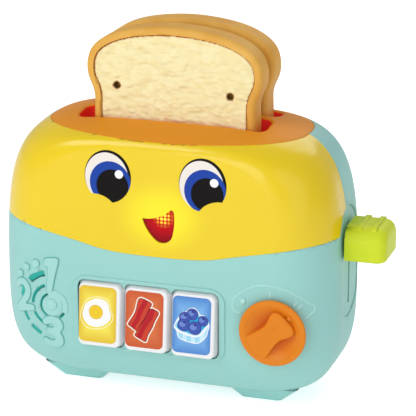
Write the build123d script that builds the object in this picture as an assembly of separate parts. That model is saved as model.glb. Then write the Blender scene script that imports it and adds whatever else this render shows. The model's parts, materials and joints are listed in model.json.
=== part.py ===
from build123d import *
import math
import os

# Toy toaster, millimetres. X runs to the lever side, -Y is the face side, +Z is up.
# The pieces are drawn about the casing's middle, with the parting plane of its halves at Y = 0.
# At the end all of them are moved so that the origin is on the floor, in the middle of the whole toy.

# casing form
half_width = 105.0
half_depth = 49.0
crown_z = 170.5
base_z = 4.0
widest_z = 74.0
corner_r = 34.0
crown_r = 120.0
edge_r = 8.0
base_flat = 50.0
base_handle = 56.0
low_handle = 45.0
high_handle = 96.5
crown_handle = 88.0
ring_angles = (6, 14, 24, 35, 46, 56, 66, 75, 83, 90)

# walls and fits
panel_pocket = 2.0
panel_lift = 0.2
back_wall = 2.2
casing_wall = 2.4
seam = 0.15
seat_gap = 0.1
slide_fit = 0.05
button_fit = 0.5
press = 0.02
far = 90.0

# face panel
panel_edge_y = 4.0
smile = ((0, 92.0), (22, 92.5), (35, 93.9), (48, 96.9), (62, 99.8), (75, 102.6), (103, 106.0))
thin_wall_top = 86.0
rear_thin_top = 150.0

# mouth
mouth_y = 47.9
mouth_flange = 2.0
mouth_flange_t = 1.5
mouth_centre = (3.0, 112.5)
mouth_board_x = 1.8
mouth_board_z = 112.0
mouth_board_y = 40.0
mouth_board_reach = 16.0
lamp_r = 1.4
lamp_height = 1.6

# top trim and toast slots
trim_length = 80.0
trim_depth = 46.0
trim_power = 2.5
trim_steps = 40
trim_shelf = 4.0
trim_low_z = 145.0
trim_edge = 0.8
slot_half = 58.0
slot_in = 3.0
slot_out = 23.0
slot_corner = 6.0
slot_lip = 1.8
well_wall = 1.6
well_end_z = 132.0

# toast slices
toast_pitch = 26.0
toast_t = 16.5
toast_x = 1.8
toast_half = 49.7
toast_base_z = 118.0
toast_screw_x = (-30.0, 30.0)
crust_band = 4.5
crust_edge = 3.0
crumb_sink = 0.8
crumb_t = 2.2
crumb_ledge = 2.0
toast_web = 1.6
toast_hole_r = 2.0
toast_holes = ((-35.2, 186.4), (34.6, 184.7))

# lift mechanism
rod_x = 68.0
rod_r = 2.0
rod_low_z = 36.0
rod_top_z = 158.0
socket_r = 4.5
socket_low_z = 150.0
travel = 38.0
bush_r = 5.0
bush_low_z = 96.0
bush_top_z = 118.0
beam_z = (100.0, 106.0)
beam_half = 4.0
cradle_floor = 2.5
cradle_wall = 1.6
cradle_top_z = 126.0
arm_z = (97.4, 107.0)
arm_half = 1.2
arm_end = 121.0
frame_z = (36.0, 39.0)
frame_socket_top = 44.0
frame_half = (82.0, 12.0)
ear_x = 56.0
frame_ear_z = 45.0
ear_top_z = 50.0
ear_t = 3.0
ear_boss_r = 4.0
spring_wire = 1.0
spring_r = 3.6
spring_turns = 7

# lever knob and its track
lever_slot_half = 1.6
lever_slot_z = (59.0, 109.5)
lever_slot_corner = 0.6
track_z = 84.8
track_half = (21.7, 34.2)
track_sink = 0.7
lever_x = (105.5, 130.0)
lever_half = 17.0
lever_z = (90.0, 110.6)
lever_round = 9.5
lever_end_round = 6.5
lever_edge = 2.6
ridge_x = (113.5, 122.3)
ridge_half = 1.3
ridge_rise = 1.1
ridge_reach = 13.0

# picture buttons
button_x = (-34.3, -4.9, 24.5)
button_z = 53.2
button_face = (26.0, 38.0)
button_foot = (28.6, 40.4)
button_face_y = 53.5
button_lean = 5.0
button_edge = 1.2
button_roof = 0.8
button_travel = 2.0
flange_size = (28.8, 46.0)
flange_t = 1.5
bezel_rise = 0.9
bezel_margin = (3.5, 2.7)
stem_r = 3.0
stem_end = 0.4

# rotary knob
knob_x = 72.5
knob_z = 54.2
knob_r = 20.2
knob_front_y = 53.0
knob_rim = 1.3
knob_edge = 0.9
knob_under_r = 17.4
knob_under_y = 49.3
knob_bowl_r = 17.2
knob_bowl = 5.6
knob_rest = 45.0
hub_r = 14.0
well_r = 14.6
well_y = 45.2
well_ring = 1.8
bush_y = 43.2
spindle_r = 4.0
disc_gap = 0.3
disc_r = 9.0
disc_t = 1.2
pivot_r = 1.2
pivot_reach = 7.5
bar_drop = 0.3
bar_margin = 0.9
bar_edge = 1.2
bar_upper = ((-22.0, 10.6), (-14.0, 8.8), (-7.0, 7.0), (-1.0, 6.3), (3.0, 7.2), (6.5, 8.6), (9.8, 8.3),
             (11.7, 5.2), (12.0, 0.0))
dimple_at = 3.7
dimple_r = 6.6
dimple_out = 6.0
pointer_at = 14.3
pointer_r = 1.5
pointer_sink = 1.6

# speaker
horn_x = -65.6
horn_z = 54.4
horn_r = 13.5
horn_y = 44.5
horn_ring = 1.0
magnet_r = 9.0
magnet_y = (37.6, 31.0)
grille_slots = (
    (7.0, 8.4, 115, 240), (7.4, 9.0, 300, 330), (12.2, 14.2, 112, 180),
    (12.4, 14.4, 204, 256), (18.7, 22.5, 104, 137), (19.8, 22.0, 200, 216), (19.8, 22.6, 225, 246),
)

# circuit board
board_x = (-50.0, 86.0)
board_z = (34.0, 83.0)
board_y = 38.0
board_t = 1.6
board_screw_at = ((-42.0, 80.0), (40.0, 80.0), (48.0, 38.0))
post_r = 2.8
board_screw_r = 1.0
dome_r = 4.5

# battery case
cell_r = 7.1
cell_length = 49.5
cell_z = (52.0, 67.0, 82.0)
cell_y = 38.0
tray_x = 31.0
tray_z = (43.5, 90.5)
tray_y = 30.0
tray_wall = 1.8
door_t = 2.0
door_margin = 4.0
door_corner = 5.0
door_screw_z = 96.5

# case screws
case_screw_at = ((-84.0, 28.0), (84.0, 28.0), (-30.0, 14.0), (30.0, 14.0), (-88.0, 126.0), (88.0, 126.0))
pillar_r = 4.6
head_r = 2.9
head_t = 2.0
shank_r = 1.5
head_seat_y = 4.0
screw_reach = 10.0

# feet
foot_x = 57.5
foot_y = 16.5
foot_base = (25.5, 15.0)
foot_top = (46.0, 24.0)
foot_top_z = 9.0


def block(x, y, z):
    size = (x[1] - x[0], y[1] - y[0], z[1] - z[0])
    return Pos((x[0] + x[1]) / 2, (y[0] + y[1]) / 2, (z[0] + z[1]) / 2) * Box(*size)


def rod_up(x, y, low, top, radius):
    return Pos(x, y, (low + top) / 2) * Cylinder(radius, top - low)


def rod_through(x, z, near, away, radius):
    return Pos(x, (near + away) / 2, z) * Rot(90, 0, 0) * Cylinder(radius, away - near)


def face_plane(y):
    return Plane(origin=(0, y, 0), x_dir=(1, 0, 0), z_dir=(0, -1, 0))


def face_prism(sketch, near, away):
    # near and away are Y values, near < away; the sketch is drawn in X and Z
    return extrude(face_plane(away) * sketch, amount=away - near)


def side_prism(sketch, left, right):
    # the sketch is drawn in Y and Z
    plane = Plane(origin=(left, 0, 0), x_dir=(0, 1, 0), z_dir=(1, 0, 0))
    return extrude(plane * sketch, amount=right - left)


def mirrored(shape):
    return mirror(shape, about=Plane.XZ)


def loaf_section(depth, inset):
    flat = half_depth - corner_r
    radius = corner_r - inset
    draw = radius - math.sqrt(max(radius**2 - max(depth - flat, 0.0)**2, 0.0))
    wide = half_width - inset - draw
    low = base_z + inset + draw
    shoulder_y = half_depth - edge_r
    shoulder_z = crown_z - crown_r + math.sqrt((crown_r - edge_r)**2 - shoulder_y**2)
    arch = crown_r - inset
    edge = edge_r - inset
    if depth <= shoulder_y * arch / (crown_r - edge_r):
        top = crown_z - crown_r + math.sqrt(arch**2 - depth**2)
    else:
        top = shoulder_z + math.sqrt(max(edge**2 - (depth - shoulder_y)**2, 0.0))
    across = wide / half_width
    down = (widest_z - low) / (widest_z - base_z)
    up = (top - widest_z) / (crown_z - widest_z)
    belly = [(base_flat * across, low), ((base_flat + base_handle) * across, low),
             (wide, widest_z - low_handle * down), (wide, widest_z)]
    dome = [(wide, widest_z), (wide, widest_z + high_handle * up), (crown_handle * across, top), (0, top)]

    def right(points):
        return [Vector(x, -depth, z) for x, z in points]

    def left(points):
        return [Vector(-x, -depth, z) for x, z in reversed(points)]

    return Wire([
        Line(left(belly)[-1], right(belly)[0]),
        Bezier(*right(belly)), Bezier(*right(dome)), Bezier(*left(dome)), Bezier(*left(belly)),
    ])


def half_loaf(inset=0.0):
    # front half of the casing form, drawn in by the inset on every side but the parting plane
    flat = half_depth - corner_r
    radius = corner_r - inset
    depths = [0.0, flat * 0.4, flat * 0.75]
    depths += [flat + radius * math.sin(math.radians(angle)) for angle in ring_angles]
    return Solid.make_loft([loaf_section(depth, inset) for depth in depths], ruled=False)


outer_form = half_loaf()
pocket_form = half_loaf(panel_pocket)
panel_form = half_loaf(panel_pocket - panel_lift)
back_form = half_loaf(panel_pocket + back_wall)
inner_form = half_loaf(casing_wall)
track_form = half_loaf(track_sink)
core_form = half_loaf(1.2)


def trim_prism(inset, low, top):
    # an oval with blunt ends, drawn in one piece from the middle of its rear side
    points = []
    for step in range(trim_steps):
        angle = math.radians(90) + 2 * math.pi * step / trim_steps
        across = abs(math.cos(angle) / (trim_length - inset))**trim_power
        along = abs(math.sin(angle) / (trim_depth - inset))**trim_power
        reach = (across + along)**(-1 / trim_power)
        points.append((reach * math.cos(angle), reach * math.sin(angle)))
    return extrude(Pos(0, 0, low) * make_face(Spline(*points, periodic=True)), amount=top - low)


def panel_prism(inset):
    right = [(x, z + inset) for x, z in smile]
    left = [(-x, z) for x, z in reversed(right[1:])]
    lower = Spline(*(left + right))
    end_x, end_z = right[-1]
    rest = Polyline((end_x, end_z), (far + 30, end_z + 1), (far + 30, 2 * far), (-far - 30, 2 * far),
                    (-far - 30, end_z + 1), (-end_x, end_z))
    return face_prism(make_face(Curve() + [lower, rest]), -far, -panel_edge_y - inset)


def track_prism(margin):
    size = (2 * (track_half[1] + margin), 2 * (track_half[0] + margin))
    return side_prism(Pos(0, track_z) * Rot(0, 0, 90) * SlotOverall(*size), half_width / 2, half_width + 20)


def lever_slot():
    height = lever_slot_z[1] - lever_slot_z[0]
    middle = (lever_slot_z[0] + lever_slot_z[1]) / 2
    slot = Pos(0, middle) * RectangleRounded(2 * lever_slot_half, height, lever_slot_corner)
    return side_prism(slot, half_width / 2, half_width + 20)


def mouth_outline(grow):
    corners = [(-8.0, 115.4), (9.5, 121.8), (11.4, 120.4), (10.6, 107.0), (-0.6, 103.2)]
    middles = [(1.6, 116.6), (10.6, 121.4), (11.6, 113.6), (5.6, 101.4), (-5.2, 108.8)]
    far_points = [grown_from(point, mouth_centre, grow) for point in corners]
    far_middles = [grown_from(point, mouth_centre, grow) for point in middles]
    edges = []
    for index, start in enumerate(far_points):
        end = far_points[(index + 1) % len(far_points)]
        edges.append(ThreePointArc(start, far_middles[index], end))
    return make_face(Curve() + edges)


def grown_from(point, centre, grow):
    # a point moved straight away from a centre
    reach = math.dist(point, centre)
    share = (reach + grow) / reach
    return (centre[0] + (point[0] - centre[0]) * share, centre[1] + (point[1] - centre[1]) * share)


def foot(side, fore):
    lower = Plane(origin=(side * foot_x, fore * foot_y, 0)) * RectangleRounded(*foot_base, 3)
    upper = Plane(origin=(side * (foot_x + 0.5), fore * foot_y, foot_top_z)) * RectangleRounded(*foot_top, 4)
    return loft([lower, upper])


def screw_post(x, z, form, end_y, radius):
    return rod_through(x, z, -half_depth, end_y, radius) & form


def cavity(thin_top):
    # the hollow of a half: thin walls low down, thicker ones behind the panel and the trim
    low_part = inner_form & block((-2 * far, 2 * far), (-far, 1), (-1, thin_top))
    return back_form + low_part


def grille_cut():
    cuts = []
    for inner, outer, start, end in grille_slots:
        middle = (inner + outer) / 2
        arc = CenterArc((horn_x, horn_z), middle, start, end - start)
        cuts.append(trace(arc, line_width=outer - inner))
    return [face_prism(cut, -half_depth - 1, -half_depth + 14) for cut in cuts]


def front_casing():
    body = outer_form - cavity(thin_wall_top)
    bay_size = (button_x[2] - button_x[0] + button_foot[0] + 2 * bezel_margin[0] + 1,
                button_foot[1] + 2 * bezel_margin[1])
    bay = face_prism(Pos((button_x[0] + button_x[2]) / 2, button_z) * RectangleRounded(*bay_size, 9),
                     -half_depth - bezel_rise, -half_depth + casing_wall)
    bay = fillet(bay.faces().sort_by(Axis.Y)[0].edges(), 0.7)
    body += bay
    for side in (-1, 1):
        body += foot(side, -1)
    body -= inner_form & block((-2 * far, 2 * far), (-far, 1), (-1, thin_wall_top))
    for x, z in case_screw_at:
        body += screw_post(x, z, core_form, -seat_gap, pillar_r)
    for x, z in board_screw_at:
        body += screw_post(x, z, core_form, -board_y - board_t, post_r)
    body += rod_through(knob_x, knob_z, -half_depth, -bush_y, well_r + well_ring)
    body -= rod_through(knob_x, knob_z, -far, -well_y, well_r)
    ring = rod_through(horn_x, horn_z, -half_depth, -horn_y - seat_gap, horn_r + horn_ring) & core_form
    body += ring - rod_through(horn_x, horn_z, -half_depth, -horn_y + 1, horn_r - 1.5)
    for side in (-1, 1):
        post_x = mouth_board_x + side * mouth_board_reach
        body += screw_post(post_x, mouth_board_z, core_form, -mouth_board_y, post_r)
    pocket = panel_prism(0) - pocket_form
    body -= pocket - track_prism(0)
    body -= trim_prism(0, trim_low_z, far * 2) - pocket_form
    body -= trim_prism(trim_shelf, trim_low_z, far * 2)
    body -= track_prism(0) - track_form
    body -= lever_slot()
    for x in button_x:
        hole = RectangleRounded(button_foot[0] + 1.2, button_foot[1] + 2 * button_fit, 4.6)
        body -= face_prism(Pos(x, button_z) * hole, -far, -half_depth + casing_wall + 1)
    wall_y = -half_depth + casing_wall
    room = (button_x[2] - button_x[0] + flange_size[0] + 1, flange_size[1] + 1)
    body -= face_prism(Pos((button_x[0] + button_x[2]) / 2, button_z) * Rectangle(*room), wall_y, wall_y + 6)
    for cut in grille_cut():
        body -= cut
    body -= rod_through(knob_x, knob_z, -far, -bush_y + 1, spindle_r + slide_fit)
    body -= face_prism(mouth_outline(seam), -far, -42)
    for x, z in case_screw_at:
        body -= rod_through(x, z, head_seat_y - head_t - screw_reach - 4, 1, shank_r + press)
    for x, z in board_screw_at:
        body -= rod_through(x, z, -board_y - board_t - 5, -30, board_screw_r + press)
    for side in (-1, 1):
        post_x = mouth_board_x + side * mouth_board_reach
        body -= rod_through(post_x, mouth_board_z, -mouth_board_y - 4, -30, board_screw_r + press)
    return body


def rear_casing():
    body = mirrored(outer_form) - mirrored(cavity(rear_thin_top))
    for side in (-1, 1):
        body += foot(side, 1)
    body -= mirrored(inner_form & block((-2 * far, 2 * far), (-far, 1), (-1, thin_wall_top)))
    wide = tray_x + tray_wall
    case = block((-wide - door_margin, wide + door_margin), (tray_y - tray_wall, half_depth - 1),
                 (tray_z[0] - tray_wall - door_margin, door_screw_z + 4.5))
    body += case
    body -= block((-tray_x, tray_x), (tray_y, far), tray_z)
    body -= mirrored(door_shape(seam, -far, -half_depth + door_t + seat_gap))
    body -= rod_through(0, door_screw_z, half_depth - 12, far, shank_r + press)
    posts = []
    for x, z in case_screw_at:
        posts.append(rod_through(x, z, 0, half_depth, pillar_r) & mirrored(core_form))
    for post in posts:
        body += post
    for side in (-1, 1):
        boss = rod_through(side * ear_x, frame_ear_z, frame_half[1] + seat_gap, half_depth, ear_boss_r)
        body += boss & mirrored(core_form)
    body -= trim_prism(0, trim_low_z, far * 2) - mirrored(pocket_form)
    body -= trim_prism(trim_shelf, trim_low_z, far * 2)
    body -= track_prism(0) - mirrored(track_form)
    body -= lever_slot()
    for x, z in case_screw_at:
        body -= rod_through(x, z, -1, far, shank_r + 0.2)
        body -= rod_through(x, z, head_seat_y, far, head_r + 0.3)
    for side in (-1, 1):
        body -= rod_through(side * ear_x, frame_ear_z, frame_half[1] - 1, frame_half[1] + 12, shank_r + press)
    return body


def face_panel():
    body = (outer_form & panel_prism(seam)) - panel_form
    body -= track_prism(seam)
    body -= trim_prism(-seam, trim_low_z, far * 2)
    body -= face_prism(mouth_outline(seam), -far, -40)
    return body


def slot_pair(low, top):
    cuts = []
    for side in (-1, 1):
        middle = side * (slot_in + slot_out) / 2
        shape = RectangleRounded(2 * slot_half, slot_out - slot_in, slot_corner)
        cuts.append(extrude(Pos(0, middle, low) * shape, amount=top - low))
    return cuts


def top_trim():
    front = (outer_form & trim_prism(seam, trim_low_z, far * 2)) - panel_form
    rim = [edge for edge in front.edges() if edge.length > trim_depth and on_trim_wall(edge @ 0.5)]
    rim.sort(key=lambda edge: (edge @ 0.5).Z)
    front = fillet(rim[len(rim) // 2:], trim_edge)
    body = front + mirrored(front)
    well = RectangleRounded(2 * (slot_half + well_wall), 2 * (slot_out + well_wall), slot_corner + well_wall)
    collar = extrude(Pos(0, 0, well_end_z) * well, amount=60)
    core = core_form + mirrored(core_form)
    body += collar & core
    for side in (-1, 1):
        tube = rod_up(side * rod_x, 0, socket_low_z, crown_z, socket_r) & core
        body += tube
    for cut in slot_pair(100, 200):
        body -= cut
    for side in (-1, 1):
        body -= rod_up(side * rod_x, 0, socket_low_z - 1, rod_top_z + 1, rod_r + press)
    lips = [edge for edge in body.edges() if is_lip(edge)]
    return fillet(lips, slot_lip)


def on_trim_wall(point):
    across = abs(point.X / (trim_length - seam))**trim_power
    along = abs(point.Y / (trim_depth - seam))**trim_power
    return abs(across + along - 1) < 0.01


def is_lip(edge):
    box = edge.bounding_box()
    low_enough = box.max.Z < crown_z + 1 and box.min.Z > crown_z - 8
    inside = max(abs(box.min.X), abs(box.max.X)) < slot_half + 0.5
    return low_enough and inside and max(abs(box.min.Y), abs(box.max.Y)) < slot_out + 0.5


def mouth_lens():
    front = face_prism(mouth_outline(0), -mouth_y, -half_depth + panel_pocket + back_wall)
    back_y = -half_depth + panel_pocket + back_wall
    flange = face_prism(mouth_outline(mouth_flange), back_y, back_y + mouth_flange_t)
    return front + flange


def mouth_light_board():
    plate = Pos(mouth_board_x, mouth_board_z) * RectangleRounded(2 * mouth_board_reach + 6, 14, 2)
    board = face_prism(plate, -mouth_board_y, -mouth_board_y + board_t)
    for side in (-1, 1):
        post_x = mouth_board_x + side * mouth_board_reach
        board -= rod_through(post_x, mouth_board_z, -mouth_board_y - 1, -mouth_board_y + 3, board_screw_r + 0.1)
    return board


def mouth_lamp():
    dome_y = -mouth_board_y - lamp_height
    dome = Pos(mouth_board_x, dome_y, mouth_board_z) * Sphere(lamp_r)
    return rod_through(mouth_board_x, mouth_board_z, dome_y, -mouth_board_y, lamp_r) + dome


def toast_outline(inset):
    points = [(toast_half, toast_base_z), (toast_half, 150.0), (toast_half, 173.0), (toast_half + 0.1, 180.2),
              (toast_half + 1.2, 184.4), (toast_half + 3.4, 189.6), (toast_half + 4.5, 196.6),
              (51.6, 207.0), (40.8, 216.0), (20.4, 221.8), (0.0, 223.4)]
    right = []
    for index, (x, z) in enumerate(points):
        before = points[max(index - 1, 0)]
        after = points[index + 1] if index + 1 < len(points) else (-points[-2][0], points[-2][1])
        along = (after[0] - before[0], after[1] - before[1])
        length = math.hypot(*along)
        right.append((x - inset * along[1] / length, z + inset * along[0] / length))
    right[0] = (right[0][0], toast_base_z + inset)
    left = [(-x, z) for x, z in reversed(right[:-1])]
    over = Spline(*(right + left))
    return Pos(toast_x, 0) * make_face(Curve() + [over, Line(left[-1], right[0])])


def toast_crust():
    # built about the plane Y = 0; each slice is a copy moved to its own slot
    body = face_prism(toast_outline(0), -toast_t / 2, toast_t / 2)
    flat_faces = [body.faces().sort_by(Axis.Y)[0], body.faces().sort_by(Axis.Y)[-1]]
    body = fillet([edge for face in flat_faces for edge in face.edges()], crust_edge)
    pocket = toast_outline(crust_band)
    hollow = toast_outline(crust_band + crumb_ledge)
    for way in (-1, 1):
        skin = way * toast_t / 2
        floor = skin - way * (crumb_sink + crumb_t)
        web = way * toast_web / 2
        body -= face_prism(pocket, min(floor, skin + way * 5), max(floor, skin + way * 5))
        body -= face_prism(hollow, min(web, floor + way), max(web, floor + way))
    for x in toast_screw_x:
        body -= rod_up(x, 0, toast_base_z - 1, toast_base_z + crust_band + 3, 1.2 + press)
    return body


def toast_crumb():
    outline = toast_outline(crust_band + seam)
    plates = []
    for way in (-1, 1):
        skin = way * (toast_t / 2 - crumb_sink)
        floor = skin - way * crumb_t
        plate = face_prism(outline, min(floor, skin), max(floor, skin))
        if way < 0:
            for x, z in toast_holes:
                plate -= rod_through(toast_x + x, z, skin - 2, skin + 6, toast_hole_r)
        plates.append(plate)
    return Compound(plates)


def toast_screws():
    parts = []
    for side in (-1, 1):
        for x in toast_screw_x:
            low = toast_base_z - cradle_floor
            head = rod_up(x, side * toast_pitch / 2, low - 1.6, low, 2.4)
            parts.append(head + rod_up(x, side * toast_pitch / 2, low - 0.5, toast_base_z + 4, 1.2))
    return Compound(parts)


def carriage():
    body = block((-rod_x, rod_x), (-beam_half, beam_half), beam_z)
    for side in (-1, 1):
        body += rod_up(side * rod_x, 0, bush_low_z, bush_top_z, bush_r)
    inner = toast_t / 2 + 0.25
    outer = toast_pitch / 2 + inner + cradle_wall
    length = toast_half + toast_x + seat_gap + 0.2
    floor_low = toast_base_z - cradle_floor
    tray = block((-length - cradle_wall, length + cradle_wall), (-outer, outer), (floor_low, cradle_top_z))
    for side in (-1, 1):
        middle = side * toast_pitch / 2
        tray -= block((-length, length), (middle - inner, middle + inner), (toast_base_z, cradle_top_z + 1))
        for x in toast_screw_x:
            tray -= rod_up(x, middle, floor_low - 1, toast_base_z + 1, 1.2 + 0.15)
    body += tray
    for x in (-44, -15, 15, 44):
        body += block((x - 1.2, x + 1.2), (-outer + 4, outer - 4), (beam_z[0] + 2, floor_low))
        for side in (-1, 1):
            body -= block((x - 2, x + 2), tuple(sorted((side * 8.0, side * 16.0))), (beam_z[0], floor_low - 4))
    body += block((rod_x, arm_end), (-arm_half, arm_half), arm_z)
    for side in (-1, 1):
        body -= rod_up(side * rod_x, 0, bush_low_z - 1, bush_top_z + 1, rod_r + slide_fit)
    return body


def lever_section(grow):
    low, top = lever_z
    half = lever_half + grow
    sketch = Pos(0, (low + top + grow) / 2) * Rectangle(2 * half, top + grow - low)
    over = sketch.vertices().sort_by(Axis.Y)[-2:]
    return fillet(over, lever_round + grow)


def lever_knob():
    top = lever_z[1]
    body = side_prism(lever_section(0), *lever_x)
    end_sides = [edge for edge in body.edges().filter_by(Axis.Z) if edge.center().X > lever_x[1] - 1]
    body = fillet(end_sides, lever_end_round)
    base = body.faces().sort_by(Axis.Z)[0]
    body = fillet([edge for edge in base.edges() if edge.center().X > lever_x[0] + 1], lever_edge)
    reach = block((0, 2 * far), (-ridge_reach, ridge_reach), (top - lever_round, 2 * far))
    for x in ridge_x:
        body += side_prism(lever_section(ridge_rise), x - ridge_half, x + ridge_half) & reach
    socket = block((lever_x[0] - 1, arm_end + 1), (-arm_half - press, arm_half + press),
                   (arm_z[0] - press, arm_z[1] + press))
    return body - socket


def guide_rods():
    return Compound([rod_up(side * rod_x, 0, rod_low_z + 1, rod_top_z, rod_r) for side in (-1, 1)])


def lift_frame():
    body = block((-frame_half[0], frame_half[0]), (-frame_half[1], frame_half[1]), frame_z)
    for side in (-1, 1):
        body += rod_up(side * rod_x, 0, rod_low_z - 2, frame_socket_top, bush_r)
        body += block((side * ear_x - 6, side * ear_x + 6), (frame_half[1] - ear_t, frame_half[1]),
                      (frame_z[0], ear_top_z))
        body -= rod_through(side * ear_x, frame_ear_z, 0, 20, shank_r + 0.15)
        body -= rod_up(side * rod_x, 0, rod_low_z + 1, frame_socket_top + 1, rod_r + press)
    for x in (-40, 0, 40):
        body += block((x - 1, x + 1), (-frame_half[1], frame_half[1]), (frame_z[0], frame_z[1] + 4))
    return body


def frame_screws():
    parts = []
    face = frame_half[1] - ear_t
    for side in (-1, 1):
        head = rod_through(side * ear_x, frame_ear_z, face - head_t, face, head_r)
        parts.append(head + rod_through(side * ear_x, frame_ear_z, face - 0.5, face + 12, shank_r))
    return Compound(parts)


def return_springs():
    length = bush_low_z - frame_socket_top
    pitch = (length - spring_wire) / spring_turns
    path = Helix(pitch=pitch, height=length - spring_wire, radius=spring_r)
    start = Plane(origin=path @ 0, x_dir=(1, 0, 0), z_dir=path % 0)
    wire = sweep(start * Rectangle(spring_wire, spring_wire * 0.9), path=path, is_frenet=True)
    low = frame_socket_top + spring_wire / 2
    return Compound([Pos(side * rod_x, 0, low) * wire for side in (-1, 1)])


def picture_button(x):
    foot_y = -half_depth + casing_wall
    low = face_plane(foot_y) * Pos(x, button_z) * RectangleRounded(*button_foot, 4.2)
    lean = math.radians(button_lean)
    plane = Plane(origin=(x, -button_face_y, button_z), x_dir=(1, 0, 0),
                  z_dir=(0, -math.cos(lean), math.sin(lean)))
    high = plane * RectangleRounded(*button_face, 3.6)
    cap = loft([low, high])
    cap = fillet(cap.faces().sort_by(Axis.Y)[0].edges(), button_edge)
    cap += face_prism(Pos(x, button_z) * RectangleRounded(*flange_size, 3), foot_y, foot_y + flange_t)
    room = RectangleRounded(button_face[0] - 3, button_face[1] - 3, 2)
    roof_y = -half_depth - button_roof
    cap -= face_prism(Pos(x, button_z) * room, roof_y, foot_y + flange_t + 1)
    cap += rod_through(x, button_z, roof_y - stem_end, foot_y + flange_t + stem_end, stem_r)
    return cap


def button_pad():
    left = button_x[0] - 10
    right = button_x[2] + 10
    skin_y = -board_y - board_t
    pad = face_prism(Pos((left + right) / 2, button_z) * RectangleRounded(right - left, 16, 3),
                     skin_y - 1.0, skin_y)
    for x in button_x:
        top_y = -half_depth + casing_wall + flange_t + stem_end + button_travel + seat_gap
        pad += Pos(x, (top_y + skin_y - 0.5) / 2, button_z) * Rot(90, 0, 0) * Cone(
            dome_r, stem_r, skin_y - 0.5 - top_y)
    return pad


def main_board():
    size = (board_x[1] - board_x[0], board_z[1] - board_z[0])
    at = ((board_x[0] + board_x[1]) / 2, (board_z[0] + board_z[1]) / 2)
    board = face_prism(Pos(*at) * RectangleRounded(*size, 3), -board_y - board_t, -board_y)
    for x, z in board_screw_at:
        board -= rod_through(x, z, -board_y - board_t - 1, -board_y + 1, board_screw_r + 0.15)
    return board


def board_screw(x, z, seat_y):
    head = rod_through(x, z, seat_y, seat_y + 1.5, 2 * board_screw_r)
    return head + rod_through(x, z, seat_y - board_t - 3.5, seat_y + 0.5, board_screw_r)


def board_screws():
    parts = []
    for x, z in board_screw_at:
        parts.append(board_screw(x, z, -board_y))
    for side in (-1, 1):
        parts.append(board_screw(mouth_board_x + side * mouth_board_reach, mouth_board_z, -mouth_board_y + board_t))
    return Compound(parts)


def bar_outline():
    lower = [(u, -v) for u, v in reversed(bar_upper[:-1])]
    edge = Spline(*(list(bar_upper) + lower))
    return make_face(Curve() + [edge, Line(lower[-1], bar_upper[0])])


def knob_point(reach, y):
    lean = math.radians(knob_rest)
    return Pos(knob_x + reach * math.cos(lean), y, knob_z + reach * math.sin(lean))


def knob_blank():
    front = -knob_front_y
    under = front + knob_rim
    plate = rod_through(knob_x, knob_z, front, under, knob_r)
    plate = fillet(plate.faces().sort_by(Axis.Y)[0].edges(), knob_edge)
    slope = -knob_under_y - under
    plate += Pos(knob_x, under + slope / 2, knob_z) * Rot(-90, 0, 0) * Cone(knob_r, knob_under_r, slope)
    return plate + rod_through(knob_x, knob_z, -knob_under_y - 1, -well_y - seat_gap, hub_r)


def rotary_knob():
    front = -knob_front_y
    blank = knob_blank()
    bowl_r = (knob_bowl_r**2 + knob_bowl**2) / (2 * knob_bowl)
    body = blank - Pos(knob_x, front + knob_bowl - bowl_r, knob_z) * Sphere(bowl_r)
    bar = Pos(knob_x, knob_z) * Rot(0, 0, knob_rest) * bar_outline()
    grip = face_prism(bar, front + bar_drop, front + knob_bowl + 1)
    grip = fillet(grip.faces().sort_by(Axis.Y)[0].edges(), bar_edge)
    body += grip & blank & rod_through(knob_x, knob_z, front - 1, -bush_y, knob_r - bar_margin)
    body -= knob_point(dimple_at, front + bar_drop - dimple_out) * Sphere(dimple_r)
    body += knob_point(pointer_at, front + pointer_sink) * Sphere(pointer_r)
    body += rod_through(knob_x, knob_z, -well_y - 1, -bush_y + disc_gap, spindle_r)
    return body - rod_through(knob_x, knob_z, -bush_y - pivot_reach, -bush_y + 2, pivot_r + press)


def contact_disc():
    near = -bush_y + disc_gap
    disc = rod_through(knob_x, knob_z, near, near + disc_t, disc_r)
    return disc - rod_through(knob_x, knob_z, near - 1, near + disc_t + 1, pivot_r + 0.1)


def knob_screw():
    seat = -bush_y + disc_gap + disc_t
    head = rod_through(knob_x, knob_z, seat, seat + 1.4, 2 * pivot_r)
    return head + rod_through(knob_x, knob_z, seat - pivot_reach, seat + 0.5, pivot_r)


def contact_block():
    disc_back = -bush_y + disc_gap + disc_t
    skin_y = -board_y - board_t
    body = face_prism(Pos(knob_x, knob_z) * RectangleRounded(22, 22, 3), skin_y - 0.8, skin_y)
    body -= rod_through(knob_x, knob_z, disc_back, -board_y, 3.2)
    for angle in (30, 150, 270):
        x = knob_x + 6.5 * math.cos(math.radians(angle))
        z = knob_z + 6.5 * math.sin(math.radians(angle))
        body += rod_through(x, z, disc_back + seat_gap, skin_y - 0.4, 1.0)
    return body


def speaker_frame():
    front = -horn_y
    rim = rod_through(horn_x, horn_z, front, front + 1.2, horn_r)
    bowl = Pos(horn_x, front + 3.9, horn_z) * Rot(-90, 0, 0) * Cone(horn_r - 1.5, 8.5, 6)
    body = rim + bowl
    body -= Pos(horn_x, front + 3.4, horn_z) * Rot(-90, 0, 0) * Cone(horn_r - 2.2, 7.7, 7)
    return body - rod_through(horn_x, horn_z, front + 5, front + 8, 6.0)


def speaker_magnet():
    return rod_through(horn_x, horn_z, -magnet_y[0], -magnet_y[1], magnet_r)


def speaker_cone():
    front = -horn_y
    outside = Pos(horn_x, front + 2.6, horn_z) * Rot(-90, 0, 0) * Cone(horn_r - 2.8, 6.5, 4.0)
    inside = Pos(horn_x, front + 2.0, horn_z) * Rot(-90, 0, 0) * Cone(horn_r - 3.5, 6.2, 4.2)
    return outside - inside


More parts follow.
